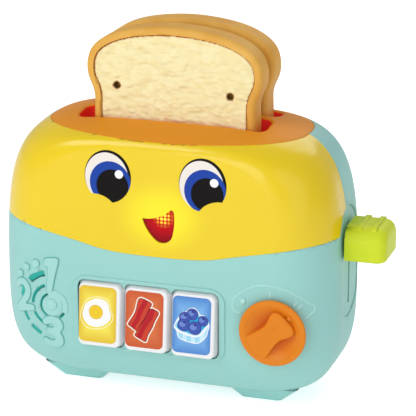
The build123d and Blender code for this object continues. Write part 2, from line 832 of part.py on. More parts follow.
def door_shape(grow, near, away):
    width = 2 * (tray_x + door_margin + grow)
    low = tray_z[0] - door_margin - grow
    top = door_screw_z + 4.5 + grow
    return face_prism(Pos(0, (low + top) / 2) * RectangleRounded(width, top - low, door_corner + grow), near, away)


def battery_door():
    body = mirrored(door_shape(0, -half_depth, -half_depth + door_t))
    body += block((-tray_x + 1, tray_x - 1), (half_depth - door_t - 1.5, half_depth - door_t),
                  (tray_z[0] + 0.4, tray_z[0] + 2.2))
    body -= rod_through(0, door_screw_z, half_depth - 5, far, shank_r + 0.2)
    body -= rod_through(0, door_screw_z, half_depth - 1.2, far, head_r + 0.2)
    for step in range(5):
        z = 60 + 4 * step
        body -= block((-12 + step, 12 - step), (half_depth - 0.5, half_depth + 1), (z - 0.6, z + 0.6))
    return body


def battery_door_screw():
    seat = half_depth - 1.2
    head = rod_through(0, door_screw_z, seat, seat + 1.1, head_r)
    return head + rod_through(0, door_screw_z, seat - 9, seat + 0.5, shank_r)


def cell(z, way):
    body = Pos(0, cell_y, z) * Rot(0, 90, 0) * Cylinder(cell_r, cell_length)
    body = chamfer(body.edges(), 0.4)
    nub_x = way * (cell_length / 2 + 0.5)
    return body + Pos(nub_x, cell_y, z) * Rot(0, 90, 0) * Cylinder(2.7, 1.0)


def batteries():
    return Compound([cell(z, 1 if index % 2 else -1) for index, z in enumerate(cell_z)])


def battery_contacts():
    parts = []
    for index, z in enumerate(cell_z):
        way = 1 if index % 2 else -1
        plate_t = 0.5
        for side in (-1, 1):
            wall = side * tray_x
            inner = wall - side * plate_t
            plate = block(tuple(sorted((wall, inner))), (cell_y - 5.5, cell_y + 5.5), (z - 5.5, z + 5.5))
            end = side * (cell_length / 2 + (1.0 if side == way else 0.0))
            length = abs(inner - end)
            middle = (inner + end) / 2
            turn = Rot(0, 90 * side, 0)
            horn = Cone(4.2, 2.4, length - seat_gap) if side != way else Cone(3.6, 2.2, length - seat_gap)
            parts.append(plate + Pos(middle + side * seat_gap / 2, cell_y, z) * turn * Rot(180, 0, 0) * horn)
    return Compound(parts)


def case_screws():
    parts = []
    for x, z in case_screw_at:
        head = rod_through(x, z, head_seat_y, head_seat_y + head_t, head_r)
        parts.append(head + rod_through(x, z, head_seat_y - screw_reach - 2, head_seat_y + 0.5, shank_r))
    return Compound(parts)


def slice_pair(shape):
    return [Pos(0, side * toast_pitch / 2, 0) * shape for side in (-1, 1)]


front_crust, rear_crust = slice_pair(toast_crust())
front_crumb, rear_crumb = slice_pair(toast_crumb())

nodes = {
    "front_casing": front_casing(),
    "rear_casing": rear_casing(),
    "face_panel": face_panel(),
    "top_trim": top_trim(),
    "mouth_lens": mouth_lens(),
    "mouth_light_board": mouth_light_board(),
    "mouth_lamp": mouth_lamp(),
    "front_toast_crust": front_crust,
    "rear_toast_crust": rear_crust,
    "front_toast_crumb": front_crumb,
    "rear_toast_crumb": rear_crumb,
    "toast_screws": toast_screws(),
    "carriage": carriage(),
    "lever_knob": lever_knob(),
    "guide_rods": guide_rods(),
    "lift_frame": lift_frame(),
    "frame_screws": frame_screws(),
    "return_springs": return_springs(),
    "egg_button": picture_button(button_x[0]),
    "bacon_button": picture_button(button_x[1]),
    "berry_button": picture_button(button_x[2]),
    "button_pad": button_pad(),
    "main_board": main_board(),
    "board_screws": board_screws(),
    "rotary_knob": rotary_knob(),
    "contact_disc": contact_disc(),
    "knob_screw": knob_screw(),
    "contact_block": contact_block(),
    "speaker_frame": speaker_frame(),
    "speaker_cone": speaker_cone(),
    "speaker_magnet": speaker_magnet(),
    "battery_door": battery_door(),
    "battery_door_screw": battery_door_screw(),
    "batteries": batteries(),
    "battery_contacts": battery_contacts(),
    "case_screws": case_screws(),
}

# the middle of the whole toy, between the left side and the lever, the foremost button edge and the back
proud_y = button_face_y + button_face[1] / 2 * math.sin(math.radians(button_lean))
middle_x = (lever_x[1] - half_width) / 2
middle_y = (half_depth - proud_y) / 2

os.makedirs("parts", exist_ok=True)
for name, shape in nodes.items():
    export_step(Pos(-middle_x, -middle_y, 0) * shape, f"parts/{name}.step")
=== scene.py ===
import bpy
import json
import math
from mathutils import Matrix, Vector, geometry, noise
from mathutils.bvhtree import BVHTree

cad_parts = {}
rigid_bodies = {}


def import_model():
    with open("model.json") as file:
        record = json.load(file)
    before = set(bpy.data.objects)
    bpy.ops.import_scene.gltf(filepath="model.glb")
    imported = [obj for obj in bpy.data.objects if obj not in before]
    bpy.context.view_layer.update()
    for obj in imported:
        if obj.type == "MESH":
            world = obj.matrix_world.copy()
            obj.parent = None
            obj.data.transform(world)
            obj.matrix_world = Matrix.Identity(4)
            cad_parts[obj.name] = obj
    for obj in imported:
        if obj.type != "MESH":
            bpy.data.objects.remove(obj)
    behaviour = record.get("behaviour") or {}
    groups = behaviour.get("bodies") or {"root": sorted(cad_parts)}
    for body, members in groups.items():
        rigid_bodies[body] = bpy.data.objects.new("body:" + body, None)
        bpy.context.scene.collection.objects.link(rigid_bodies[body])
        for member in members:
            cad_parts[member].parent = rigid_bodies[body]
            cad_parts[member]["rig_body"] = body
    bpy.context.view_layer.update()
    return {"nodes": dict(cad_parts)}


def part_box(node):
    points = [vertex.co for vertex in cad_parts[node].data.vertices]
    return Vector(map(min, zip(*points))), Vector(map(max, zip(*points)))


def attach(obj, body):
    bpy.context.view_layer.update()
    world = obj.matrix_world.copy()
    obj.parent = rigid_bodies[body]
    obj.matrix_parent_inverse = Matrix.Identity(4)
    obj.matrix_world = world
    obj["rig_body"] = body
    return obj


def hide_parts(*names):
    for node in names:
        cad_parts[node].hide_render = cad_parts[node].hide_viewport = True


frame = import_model()
nodes = frame["nodes"]
mm = 0.001
print("frame loaded:", len(nodes), "nodes")


# the casing's middle: the top ring is even on both sides of it
ringLow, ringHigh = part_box("top_trim")
middle = Vector(((ringLow.x + ringHigh.x) / 2, (ringLow.y + ringHigh.y) / 2, 0))


def at(x, y, z):
    # millimetres from the casing's middle to metres in the frame
    return middle + Vector((x, y, z)) * mm


# camera, floor and lights

view = {
    "turn": 18.0,               # degrees towards the lever side
    "rise": 17.7,               # degrees above the floor
    "focalPixels": 2050.0,
    "imagePixels": 416,
    "metresPerPixel": 0.00061,  # at the aim point
    "aim": (0.0, 0.0, 74.0),
    "aimPixel": (182.4, 260.3),
    "sensor": 36.0,
    "clip": (0.05, 20.0),
}


def makeCamera():
    turn = math.radians(view["turn"])
    rise = math.radians(view["rise"])
    right = Vector((math.cos(turn), math.sin(turn), 0))
    forward = Vector((-math.sin(turn) * math.cos(rise), math.cos(turn) * math.cos(rise), -math.sin(rise)))
    up = right.cross(forward)
    half = view["imagePixels"] / 2
    away = view["focalPixels"] * view["metresPerPixel"]
    across = (view["aimPixel"][0] - half) * view["metresPerPixel"]
    down = (view["aimPixel"][1] - half) * view["metresPerPixel"]
    place = at(*view["aim"]) - right * across + up * down - forward * away
    bpy.ops.object.camera_add(location=place, rotation=(math.pi / 2 - rise, 0, turn))
    camera = bpy.context.object
    camera.data.sensor_width = view["sensor"]
    camera.data.lens = view["focalPixels"] / view["imagePixels"] * view["sensor"]
    camera.data.clip_start, camera.data.clip_end = view["clip"]
    bpy.context.scene.camera = camera


studio = {
    "worldTone": (1.0, 1.0, 1.0),
    "worldStrength": 0.45,
    "floorTone": (0.86, 0.86, 0.86),
    "floorSize": 6.0,
    "floorDrop": 0.0002,
    "floorRoughness": 0.9,
    "floorShine": 0.1,
    "floorGlow": 0.6,      # what the camera sees
    "floorBounce": 0.28,   # what lights the toy from below
    "key": {"place": (-0.75, -0.95, 1.15), "size": 0.9, "watts": 7.6},
    "fill": {"place": (1.1, -0.9, 0.55), "size": 1.2, "watts": 2.3},
    "low": {"place": (-0.1, -1.3, 0.35), "size": 0.7, "watts": 2.6},
    "rim": {"place": (0.3, 0.9, 1.0), "size": 0.9, "watts": 3.5},
    "aim": (0.0, 0.0, 0.09),
}


def makeLight(name, spec):
    away = Vector(studio["aim"]) - Vector(spec["place"])
    bpy.ops.object.light_add(type="AREA", location=spec["place"],
                             rotation=away.to_track_quat("-Z", "Y").to_euler())
    lamp = bpy.context.object
    lamp.name = name
    lamp.data.shape = "DISK"
    lamp.data.size = spec["size"]
    lamp.data.energy = spec["watts"]


def makeWorld():
    world = bpy.data.worlds.new("softRoom")
    world.use_nodes = True
    tree = world.node_tree
    room = tree.nodes["Background"]
    room.inputs["Color"].default_value = (*studio["worldTone"], 1)
    room.inputs["Strength"].default_value = studio["worldStrength"]
    white = tree.nodes.new("ShaderNodeBackground")
    white.inputs["Strength"].default_value = 1.0
    white.inputs["Color"].default_value = (1, 1, 1, 1)
    path = tree.nodes.new("ShaderNodeLightPath")
    mix = tree.nodes.new("ShaderNodeMixShader")
    tree.links.new(path.outputs["Is Camera Ray"], mix.inputs[0])
    tree.links.new(room.outputs[0], mix.inputs[1])
    tree.links.new(white.outputs[0], mix.inputs[2])
    tree.links.new(mix.outputs[0], tree.nodes["World Output"].inputs[0])
    bpy.context.scene.world = world


def makeFloor():
    bpy.ops.mesh.primitive_plane_add(size=studio["floorSize"], location=(0, 0, -studio["floorDrop"]))
    floor = bpy.context.object
    floor.name = "studioFloor"
    material = bpy.data.materials.new("paleFloor")
    material.use_nodes = True
    tree = material.node_tree
    paper = tree.nodes["Principled BSDF"]
    paper.inputs["Base Color"].default_value = (*studio["floorTone"], 1)
    paper.inputs["Roughness"].default_value = studio["floorRoughness"]
    paper.inputs["Specular IOR Level"].default_value = studio["floorShine"]
    seen = tree.nodes.new("ShaderNodeEmission")
    seen.inputs["Strength"].default_value = studio["floorGlow"]
    bounce = tree.nodes.new("ShaderNodeEmission")
    bounce.inputs["Strength"].default_value = studio["floorBounce"]
    path = tree.nodes.new("ShaderNodeLightPath")
    either = tree.nodes.new("ShaderNodeMixShader")
    tree.links.new(path.outputs["Is Camera Ray"], either.inputs[0])
    tree.links.new(bounce.outputs[0], either.inputs[1])
    tree.links.new(seen.outputs[0], either.inputs[2])
    add = tree.nodes.new("ShaderNodeAddShader")
    tree.links.new(paper.outputs[0], add.inputs[0])
    tree.links.new(either.outputs[0], add.inputs[1])
    tree.links.new(add.outputs[0], tree.nodes["Material Output"].inputs[0])
    floor.data.materials.append(material)


makeCamera()
for lightName in ("key", "fill", "low", "rim"):
    makeLight(lightName + "Light", studio[lightName])
makeWorld()
makeFloor()
bpy.context.scene.view_settings.view_transform = "Standard"
print("camera, lights and floor ready")


# finishes

def toneOf(red, green, blue):
    # screen colour from 0 to 255 to scene-linear
    def linear(value):
        value /= 255
        return value / 12.92 if value <= 0.04045 else ((value + 0.055) / 1.055) ** 2.4
    return (linear(red), linear(green), linear(blue), 1)


def newFinish(name, roughness, shine=0.5):
    material = bpy.data.materials.new(name)
    material.use_nodes = True
    shader = material.node_tree.nodes["Principled BSDF"]
    shader.inputs["Roughness"].default_value = roughness
    shader.inputs["Specular IOR Level"].default_value = shine
    return material, material.node_tree, shader


def objectPlace(tree):
    return tree.nodes.new("ShaderNodeTexCoord").outputs["Object"]


def placeFrom(tree, centre, size=(1, 1, 1)):
    # object coordinates counted from a centre, in steps of a size
    move = tree.nodes.new("ShaderNodeMapping")
    move.vector_type = "TEXTURE"
    move.inputs["Location"].default_value = centre
    move.inputs["Scale"].default_value = size
    tree.links.new(objectPlace(tree), move.inputs["Vector"])
    return move.outputs["Vector"]


def splitOf(tree, vector):
    split = tree.nodes.new("ShaderNodeSeparateXYZ")
    tree.links.new(vector, split.inputs[0])
    return split.outputs


def mathOn(tree, operation, *values):
    # each value is a socket or a number
    step = tree.nodes.new("ShaderNodeMath")
    step.operation = operation
    for entry, value in zip(step.inputs, values):
        if isinstance(value, bpy.types.NodeSocket):
            tree.links.new(value, entry)
        else:
            entry.default_value = value
    return step.outputs[0]


def lengthOf(tree, vector):
    reach = tree.nodes.new("ShaderNodeVectorMath")
    reach.operation = "LENGTH"
    tree.links.new(vector, reach.inputs[0])
    return reach.outputs["Value"]


def rangeOf(tree, value, start, end, top=1.0, kind="LINEAR"):
    # 0 at the start and top at the end
    span = tree.nodes.new("ShaderNodeMapRange")
    span.interpolation_type = kind
    span.inputs["From Min"].default_value = start
    span.inputs["From Max"].default_value = end
    span.inputs["To Max"].default_value = top
    tree.links.new(value, span.inputs["Value"])
    return span.outputs["Result"]


def noiseOn(tree, scale, detail, stretch=None):
    grain = tree.nodes.new("ShaderNodeTexNoise")
    grain.inputs["Scale"].default_value = scale
    grain.inputs["Detail"].default_value = detail
    source = objectPlace(tree)
    if stretch:
        turn = tree.nodes.new("ShaderNodeMapping")
        turn.inputs["Scale"].default_value = stretch
        tree.links.new(source, turn.inputs["Vector"])
        source = turn.outputs["Vector"]
    tree.links.new(source, grain.inputs["Vector"])
    return grain.outputs["Fac"]


def blendTones(tree, factor, toneA, toneB, low=0.0, high=1.0, between=None):
    # between is a further place and tone
    ramp = tree.nodes.new("ShaderNodeValToRGB")
    for stop, tone, place in zip(ramp.color_ramp.elements, (toneA, toneB), (low, high)):
        stop.color = tone
        stop.position = place
    if between:
        ramp.color_ramp.elements.new(between[0]).color = between[1]
    tree.links.new(factor, ramp.inputs["Fac"])
    return ramp.outputs["Color"]


def overlay(tree, factor, under, tone):
    # a tone laid over the socket's colour
    blend = tree.nodes.new("ShaderNodeMixRGB")
    tree.links.new(factor, blend.inputs["Fac"])
    tree.links.new(under, blend.inputs["Color1"])
    blend.inputs["Color2"].default_value = tone
    return blend.outputs["Color"]


def addBump(tree, shader, height, strength, distance):
    bump = tree.nodes.new("ShaderNodeBump")
    bump.inputs["Strength"].default_value = strength
    bump.inputs["Distance"].default_value = distance
    tree.links.new(height, bump.inputs["Height"])
    tree.links.new(bump.outputs[0], shader.inputs["Normal"])


plastic = {"cloud": 22.0, "grain": 1400.0, "grainHeight": 0.04, "grainDepth": 0.0002, "drift": 0.03,
           "coatRoughness": 0.12}


def mouldedPlastic(name, tone, roughness, coat=0.0, grain=plastic["grain"], grainHeight=plastic["grainHeight"],
                   drift=plastic["drift"], shine=0.5, glow=0.0):
    # base tone with a faint cloudy drift, and the fine grain of a spark-etched mould
    material, tree, shader = newFinish(name, roughness, shine)
    tone = toneOf(*tone)
    light = tuple(min(channel * (1 + drift), 1) for channel in tone[:3]) + (1,)
    dark = tuple(channel * (1 - drift) for channel in tone[:3]) + (1,)
    clouded = blendTones(tree, noiseOn(tree, plastic["cloud"], 2.0), dark, light)
    tree.links.new(clouded, shader.inputs["Base Color"])
    addBump(tree, shader, noiseOn(tree, grain, 2.0), grainHeight, plastic["grainDepth"])
    shader.inputs["Coat Weight"].default_value = coat
    shader.inputs["Coat Roughness"].default_value = plastic["coatRoughness"]
    if glow:
        # painted light: the colour also given out as emission, as if light came through the thin coloured wall
        tree.links.new(clouded, shader.inputs["Emission Color"])
        shader.inputs["Emission Strength"].default_value = glow
    return material


def paintDepthShade(material, shallow, deep, front, back):
    # painted shade: turns from one tone to the other with the depth behind the front face
    tree = material.node_tree
    depth = rangeOf(tree, splitOf(tree, objectPlace(tree))["Y"], front, back)
    blend = blendTones(tree, depth, toneOf(*shallow), toneOf(*deep))
    tree.links.new(blend, tree.nodes["Principled BSDF"].inputs["Base Color"])


metal = {"lines": 260.0, "stretch": (1, 1, 30), "darker": 0.82, "height": 0.08, "depth": 0.0001}


def metalFinish(name, tone, roughness):
    material, tree, shader = newFinish(name, roughness)
    shader.inputs["Metallic"].default_value = 1.0
    lines = noiseOn(tree, metal["lines"], 3.0, metal["stretch"])
    dark = tuple(channel * metal["darker"] for channel in tone) + (1,)
    tree.links.new(blendTones(tree, lines, dark, (*tone, 1)), shader.inputs["Base Color"])
    addBump(tree, shader, lines, metal["height"], metal["depth"])
    return material


# tone, roughness and what differs from plain moulded plastic
plastics = {
    "tealPlastic": ((154, 209, 204), 0.42, {"shine": 0.35}),
    # litMarkTeal and litFigureTeal: lighter copies of the casing teal, painted highlight on raised marks and figures
    "litMarkTeal": ((176, 224, 219), 0.42, {"shine": 0.3}),
    "litFigureTeal": ((162, 215, 210), 0.42, {"shine": 0.3}),
    "shadeTeal": ((96, 178, 170), 0.5, {"shine": 0.2}),
    # sunkenShadeTeal: a darker copy of the casing teal, painted shade for sunken parts
    "sunkenShadeTeal": ((46, 178, 166), 0.42, {"shine": 0.3}),
    "yellowPlastic": ((238, 206, 16), 0.25, {"coat": 0.25, "grainHeight": 0.015, "shine": 0.4}),
    "orangePlastic": ((230, 148, 34), 0.42, {"shine": 0.15}),
    # slotRedGlow: red with a little painted glow, for the slot walls
    "slotRedGlow": ((236, 48, 42), 0.4, {"shine": 0.2, "glow": 0.1}),
    # seamShadeOrange: a darker copy of the ring's orange, painted shade under the ring's edge
    "seamShadeOrange": ((222, 136, 32), 0.35, {"shine": 0.4}),
    # holeShadeBrown: near-black brown, painted shade inside the crumb's holes
    "holeShadeBrown": ((48, 30, 22), 0.6, {"shine": 0.1}),
    "knobPlastic": ((228, 132, 22), 0.36, {"shine": 0.25}),
    "limePlastic": ((212, 226, 46), 0.4, {"shine": 0.2}),
    "whitePlastic": ((238, 238, 240), 0.32, {"coat": 0.25, "drift": 0.01}),
    "naturalPlastic": ((222, 220, 212), 0.5, {}),
    "grayRubber": ((190, 190, 188), 0.7, {}),
    "boardGreen": ((40, 105, 66), 0.35, {"coat": 0.3}),
    "cellSleeve": ((60, 64, 72), 0.3, {"coat": 0.4}),
    "paperCone": ((38, 38, 40), 0.9, {"grain": 600, "grainHeight": 0.4}),
    "lampEpoxy": ((250, 230, 120), 0.1, {"coat": 0.6}),
}
finishes = {name: mouldedPlastic(name, tone, roughness, **extras)
            for name, (tone, roughness, extras) in plastics.items()}
finishes["zincSteel"] = metalFinish("zincSteel", (0.62, 0.63, 0.65), 0.32)
finishes["brightSteel"] = metalFinish("brightSteel", (0.66, 0.67, 0.69), 0.18)
print("finishes mixed")


# shared modelling steps

def clearSelection():
    if bpy.context.object and bpy.context.object.mode != "OBJECT":
        bpy.ops.object.mode_set(mode="OBJECT")
    bpy.ops.object.select_all(action="DESELECT")


def onlySelect(piece):
    clearSelection()
    piece.select_set(True)
    bpy.context.view_layer.objects.active = piece


def settleInMesh(piece):
    onlySelect(piece)
    bpy.ops.object.transform_apply(location=True, rotation=True, scale=True)


def giveFinish(piece, finish):
    piece.data.materials.clear()
    piece.data.materials.append(finish)


def applyModifier(piece, modifier):
    onlySelect(piece)
    bpy.ops.object.modifier_apply(modifier=modifier.name)


def smoothSides(piece, angle):
    onlySelect(piece)
    bpy.ops.object.shade_smooth_by_angle(angle=math.radians(angle))


def outwards(piece):
    onlySelect(piece)
    bpy.ops.object.mode_set(mode="EDIT")
    bpy.ops.mesh.select_all(action="SELECT")
    bpy.ops.mesh.normals_make_consistent(inside=False)
    bpy.ops.object.mode_set(mode="OBJECT")


def voxelSkin(piece, size):
    # one closed skin of even faces
    remesh = piece.modifiers.new("evenSkin", "REMESH")
    remesh.mode = "VOXEL"
    remesh.voxel_size = size * mm
    applyModifier(piece, remesh)


def cutWith(piece, tool, operation):
    # the tool is used up
    cut = piece.modifiers.new("cut", "BOOLEAN")
    cut.operation = operation
    cut.solver = "EXACT"
    cut.object = tool
    applyModifier(piece, cut)
    bpy.data.objects.remove(tool)


shellSkin = {"mergeReach": 0.000002, "smooth": 30.0}


def copyOfNode(node, pieceName):
    # the CAD shell's triangles merged into one skin
    onlySelect(nodes[node])
    bpy.ops.object.duplicate()
    piece = bpy.context.object
    piece.name = pieceName
    piece.data.name = pieceName
    piece.parent = None
    for key in list(piece.keys()):
        del piece[key]
    bpy.ops.object.mode_set(mode="EDIT")
    bpy.ops.mesh.select_all(action="SELECT")
    bpy.ops.mesh.remove_doubles(threshold=shellSkin["mergeReach"])
    bpy.ops.object.mode_set(mode="OBJECT")
    return piece


def smoothCopy(node, pieceName, finish):
    piece = copyOfNode(node, pieceName)
    smoothSides(piece, shellSkin["smooth"])
    even = piece.modifiers.new("evenShade", "WEIGHTED_NORMAL")
    even.keep_sharp = True
    applyModifier(piece, even)
    giveFinish(piece, finish)
    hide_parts(node)
    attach(piece, nodes[node]["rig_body"])
    return piece


shells = {
    "front_casing": ("frontShell", "tealPlastic"),
    "rear_casing": ("rearShell", "tealPlastic"),
    "battery_door": ("batteryLid", "tealPlastic"),
    "face_panel": ("faceSkin", "yellowPlastic"),
    "top_trim": ("topRing", "orangePlastic"),
    "front_toast_crust": ("frontCrust", "toastCrust"),
    "rear_toast_crust": ("rearCrust", "toastCrust"),
    "lever_knob": ("leverGrip", "limePlastic"),
    "egg_button": ("eggKey", "whitePlastic"),
    "bacon_button": ("baconKey", "whitePlastic"),
    "berry_button": ("berryKey", "whitePlastic"),
    "rotary_knob": ("dialKnob", "knobPlastic"),
}

inner = {
    "mouth_light_board": "boardGreen", "main_board": "boardGreen", "mouth_lamp": "lampEpoxy",
    "toast_screws": "zincSteel", "frame_screws": "zincSteel", "board_screws": "zincSteel",
    "knob_screw": "zincSteel", "battery_door_screw": "zincSteel", "case_screws": "zincSteel",
    "guide_rods": "brightSteel", "return_springs": "brightSteel", "contact_disc": "brightSteel",
    "battery_contacts": "brightSteel", "speaker_frame": "zincSteel", "speaker_magnet": "zincSteel",
    "speaker_cone": "paperCone", "batteries": "cellSleeve", "button_pad": "grayRubber",
    "carriage": "naturalPlastic", "lift_frame": "naturalPlastic", "contact_block": "naturalPlastic",
}


# toast finishes

crust = {
    "roughness": 0.55,
    "shine": 0.25,
    "cloud": 46.0,
    "tones": ((222, 162, 66), (234, 184, 90)),
    "stops": (0.3, 0.7),
    "grain": 520.0,
    "grainHeight": 0.2,
    "grainDepth": 0.0005,
}
bread = {
    "roughness": 0.65,
    "shine": 0.2,
    "cloud": 210.0,
    "cloudStretch": (1.0, 1.0, 2.0),
    "tones": ((242, 226, 166), (248, 236, 186)),
    "stops": (0.3, 0.62),
    # painted shade: a brown line along the crust, where the crumb meets it
    "crustLineShade": (176, 112, 56),    # along the crust
    "grain": 120.0,
    "grainStretch": (1.0, 1.0, 1.7),
    "grainHeight": 1.0,
    "grainDepth": 0.003,
}


def crustFinish():
    material, tree, shader = newFinish("toastCrust", crust["roughness"], crust["shine"])
    deep, light = (toneOf(*tone) for tone in crust["tones"])
    baked = blendTones(tree, noiseOn(tree, crust["cloud"], 5.0), deep, light, *crust["stops"])
    tree.links.new(baked, shader.inputs["Base Color"])
    addBump(tree, shader, noiseOn(tree, crust["grain"], 4.0), crust["grainHeight"], crust["grainDepth"])
    return material


def crumbFinish():
    material, tree, shader = newFinish("toastCrumb", bread["roughness"], bread["shine"])
    cloud = noiseOn(tree, bread["cloud"], 4.0, bread["cloudStretch"])
    deep, light = (toneOf(*tone) for tone in bread["tones"])
    pale = blendTones(tree, cloud, deep, light, *bread["stops"])
    # painted shade along the crust, on the faces marked nearCrust
    edge = tree.nodes.new("ShaderNodeAttribute")
    edge.attribute_name = "nearCrust"
    crustLineShade = overlay(tree, edge.outputs["Fac"], pale, toneOf(*bread["crustLineShade"]))
    tree.links.new(crustLineShade, shader.inputs["Base Color"])
    pits = noiseOn(tree, bread["grain"], 1.5, bread["grainStretch"])
    addBump(tree, shader, pits, bread["grainHeight"], bread["grainDepth"])
    return material


finishes["toastCrust"] = crustFinish()
finishes["toastCrumb"] = crumbFinish()

dressed = {}
for node, (pieceName, finishName) in shells.items():
    dressed[node] = smoothCopy(node, pieceName, finishes[finishName])
for node, finishName in inner.items():
    giveFinish(nodes[node], finishes[finishName])
knobFront = min(vertex.co.y for vertex in dressed["rotary_knob"].data.vertices)
# painted shade: the knob's orange turns to a darker red deeper in its pockets
knobDepthShade = {"shallow": (226, 130, 20), "deep": (200, 62, 32), "from": 1.5, "to": 8.0}
paintDepthShade(finishes["knobPlastic"], knobDepthShade["shallow"], knobDepthShade["deep"],
          knobFront + knobDepthShade["from"] * mm, knobFront + knobDepthShade["to"] * mm)
print("shells dressed")


# toast crumb with the torn, sideways-drawn lumps of cut bread

crumb = {
    "voxel": 0.6,
    "lump": 0.36,                  # how far the lumps stand out and in
    "sink": 0.35,                  # share by which the lumps lie lower on the whole
    "skin": 0.5,                   # depth that counts as the flat face
    "turned": 0.96,                # a face that looks less outwards than this borders on the crust
    "grain": (0.13, 0.13, 0.24),   # pattern steps per millimetre, finer upwards
    "holeRadius": 2.0,
    "holes": ((-33.4, 186.4), (36.4, 184.7)),
    "holeDepth": 3.0,
    "holeStart": 0.6,
    "holeSides": 40,
    "fractal": (1.0, 2.2, 3),
    "smooth": 40,
}


def lumpAt(spot):
    point = Vector(value * step for value, step in zip(spot, crumb["grain"]))
    return noise.fractal(point, *crumb["fractal"], noise_basis="PERLIN_ORIGINAL") - crumb["sink"]


def pokeHoles(piece, low):
    for x, z in crumb["holes"]:
        spot = at(x, 0, z)
        spot.y = low - crumb["holeStart"] * mm
        bpy.ops.mesh.primitive_cylinder_add(vertices=crumb["holeSides"], radius=crumb["holeRadius"] * mm,
                                            depth=2 * crumb["holeDepth"] * mm, rotation=(math.pi / 2, 0, 0),
                                            location=spot)
        tool = bpy.context.object
        settleInMesh(tool)
        # painted shade: the holes' walls and floors take a near-black brown
        for finishName in ("toastCrumb", "holeShadeBrown"):
            tool.data.materials.append(finishes[finishName])
        for face in tool.data.polygons:
            face.material_index = 1
        cutWith(piece, tool, "DIFFERENCE")


def makeCrumb(node, pieceName):
    piece = copyOfNode(node, pieceName)
    voxelSkin(piece, crumb["voxel"])
    points = piece.data.vertices
    low = min(vertex.co.y for vertex in points)
    high = max(vertex.co.y for vertex in points)
    # the crumb's side faces get the painted shade along the crust
    nearCrust = piece.data.attributes.new("nearCrust", "FLOAT", "POINT")
    for vertex in points:
        nearCrust.data[vertex.index].value = 1.0 if abs(vertex.normal.y) < crumb["turned"] else 0.0
    for vertex in points:
        spot = vertex.co / mm
        for skin, way in ((low, -1), (high, 1)):
            if abs(vertex.co.y - skin) < crumb["skin"] * mm:
                vertex.co.y += way * lumpAt(spot) * crumb["lump"] * mm
    giveFinish(piece, finishes["toastCrumb"])
    piece.data.materials.append(finishes["holeShadeBrown"])
    pokeHoles(piece, low)
    smoothSides(piece, crumb["smooth"])
    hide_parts(node)
    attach(piece, nodes[node]["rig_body"])


makeCrumb("front_toast_crumb", "frontCrumb")
makeCrumb("rear_toast_crumb", "rearCrumb")
print("toast crumb torn")


# slot walls inside the top ring, below the crown, in red with a little painted glow that lightens them

slotWell = {
    "halfLength": 58.4,
    "inside": 23.4,
    "lowerThan": 1.2,     # below the ring's crown
    "crownCurve": 2400,   # the crown drops by x squared over this
    "upright": 0.6,
}


def paintSlots(ring):
    # painted light: the lower slot walls take the red finish that glows a little
    ring.data.materials.append(finishes["slotRedGlow"])
    top = max(vertex.co.z for vertex in ring.data.vertices)
    for face in ring.data.polygons:
        spot = (face.center - middle) / mm
        crown = top / mm - spot.x * spot.x / slotWell["crownCurve"]
        inside = abs(spot.x) < slotWell["halfLength"] and abs(spot.y) < slotWell["inside"]
        upright = abs(face.normal.z) < slotWell["upright"]
        if inside and upright and spot.z < crown - slotWell["lowerThan"]:
            face.material_index = 1


paintSlots(dressed["top_trim"])


# round beads, and the one that closes the joint round the top ring to the eye

def makeBead(name, spots, radius, finish, closed=False, sides=4, steps=12, angle=50):
    bpy.ops.curve.primitive_bezier_curve_add()
    bead = bpy.context.object
    bead.name = name
    spline = bead.data.splines[0]
    spline.use_cyclic_u = closed
    spline.bezier_points.add(len(spots) - 2)
    for point, spot in zip(spline.bezier_points, spots):
        point.co = spot
        point.handle_left_type = "AUTO"
        point.handle_right_type = "AUTO"
    bead.data.bevel_depth = radius * mm
    bead.data.bevel_resolution = sides
    bead.data.use_fill_caps = not closed
    bead.data.resolution_u = steps
    onlySelect(bead)
    bpy.ops.object.convert(target="MESH")
    settleInMesh(bead)
    outwards(bead)
    smoothSides(bead, angle)
    giveFinish(bead, finishes[finish])
    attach(bead, "casing")


seam = {"radius": 0.55, "down": 0.3, "outwards": 0.3, "sides": 2, "steps": 3, "smooth": 60}


def makeSeam():
    ring = dressed["top_trim"].data
    flat = [(vertex.co.x, vertex.co.y) for vertex in ring.vertices]
    spots = []
    for index in geometry.convex_hull_2d(flat):
        edge = ring.vertices[index].co
        away = Vector((edge.x - middle.x, edge.y - middle.y, 0)).normalized()
        spots.append(edge + away * seam["outwards"] * mm - Vector((0, 0, seam["down"] * mm)))
    # a real rounded bead, in a darker orange as painted shade below the ring's edge
    makeBead("ringSeam", spots, seam["radius"], "seamShadeOrange", True, seam["sides"], seam["steps"],
             seam["smooth"])


makeSeam()
print("ring joint closed")


# outlines and plates

def smoothLoop(points, steps=8):
    # a closed curve through the points
    loop = []
    count = len(points)
    for index in range(count):
        a, b, c, d = (Vector(points[(index + offset) % count]) for offset in (-1, 0, 1, 2))
        for step in range(steps):
            t = step / steps
            loop.append(0.5 * (2 * b + (c - a) * t + (2 * a - 5 * b + 4 * c - d) * t * t
                               + (3 * b - a - 3 * c + d) * t * t * t))
    return loop


def ovalLoop(u, v, radius, radiusV=None, count=64):
    # round, unless the second radius is given
    steps = [2 * math.pi * i / count for i in range(count)]
    return [Vector((u + radius * math.cos(angle), v + (radiusV or radius) * math.sin(angle))) for angle in steps]


def roundedLoop(halfU, halfV, radius, count=10):
    loop = []
    for quarter, (sideU, sideV) in enumerate(((1, 1), (-1, 1), (-1, -1), (1, -1))):
        for step in range(count):
            angle = math.radians(90 * quarter + 90 * step / (count - 1))
            loop.append(Vector((sideU * (halfU - radius) + radius * math.cos(angle),
                                sideV * (halfV - radius) + radius * math.sin(angle))))
    return loop


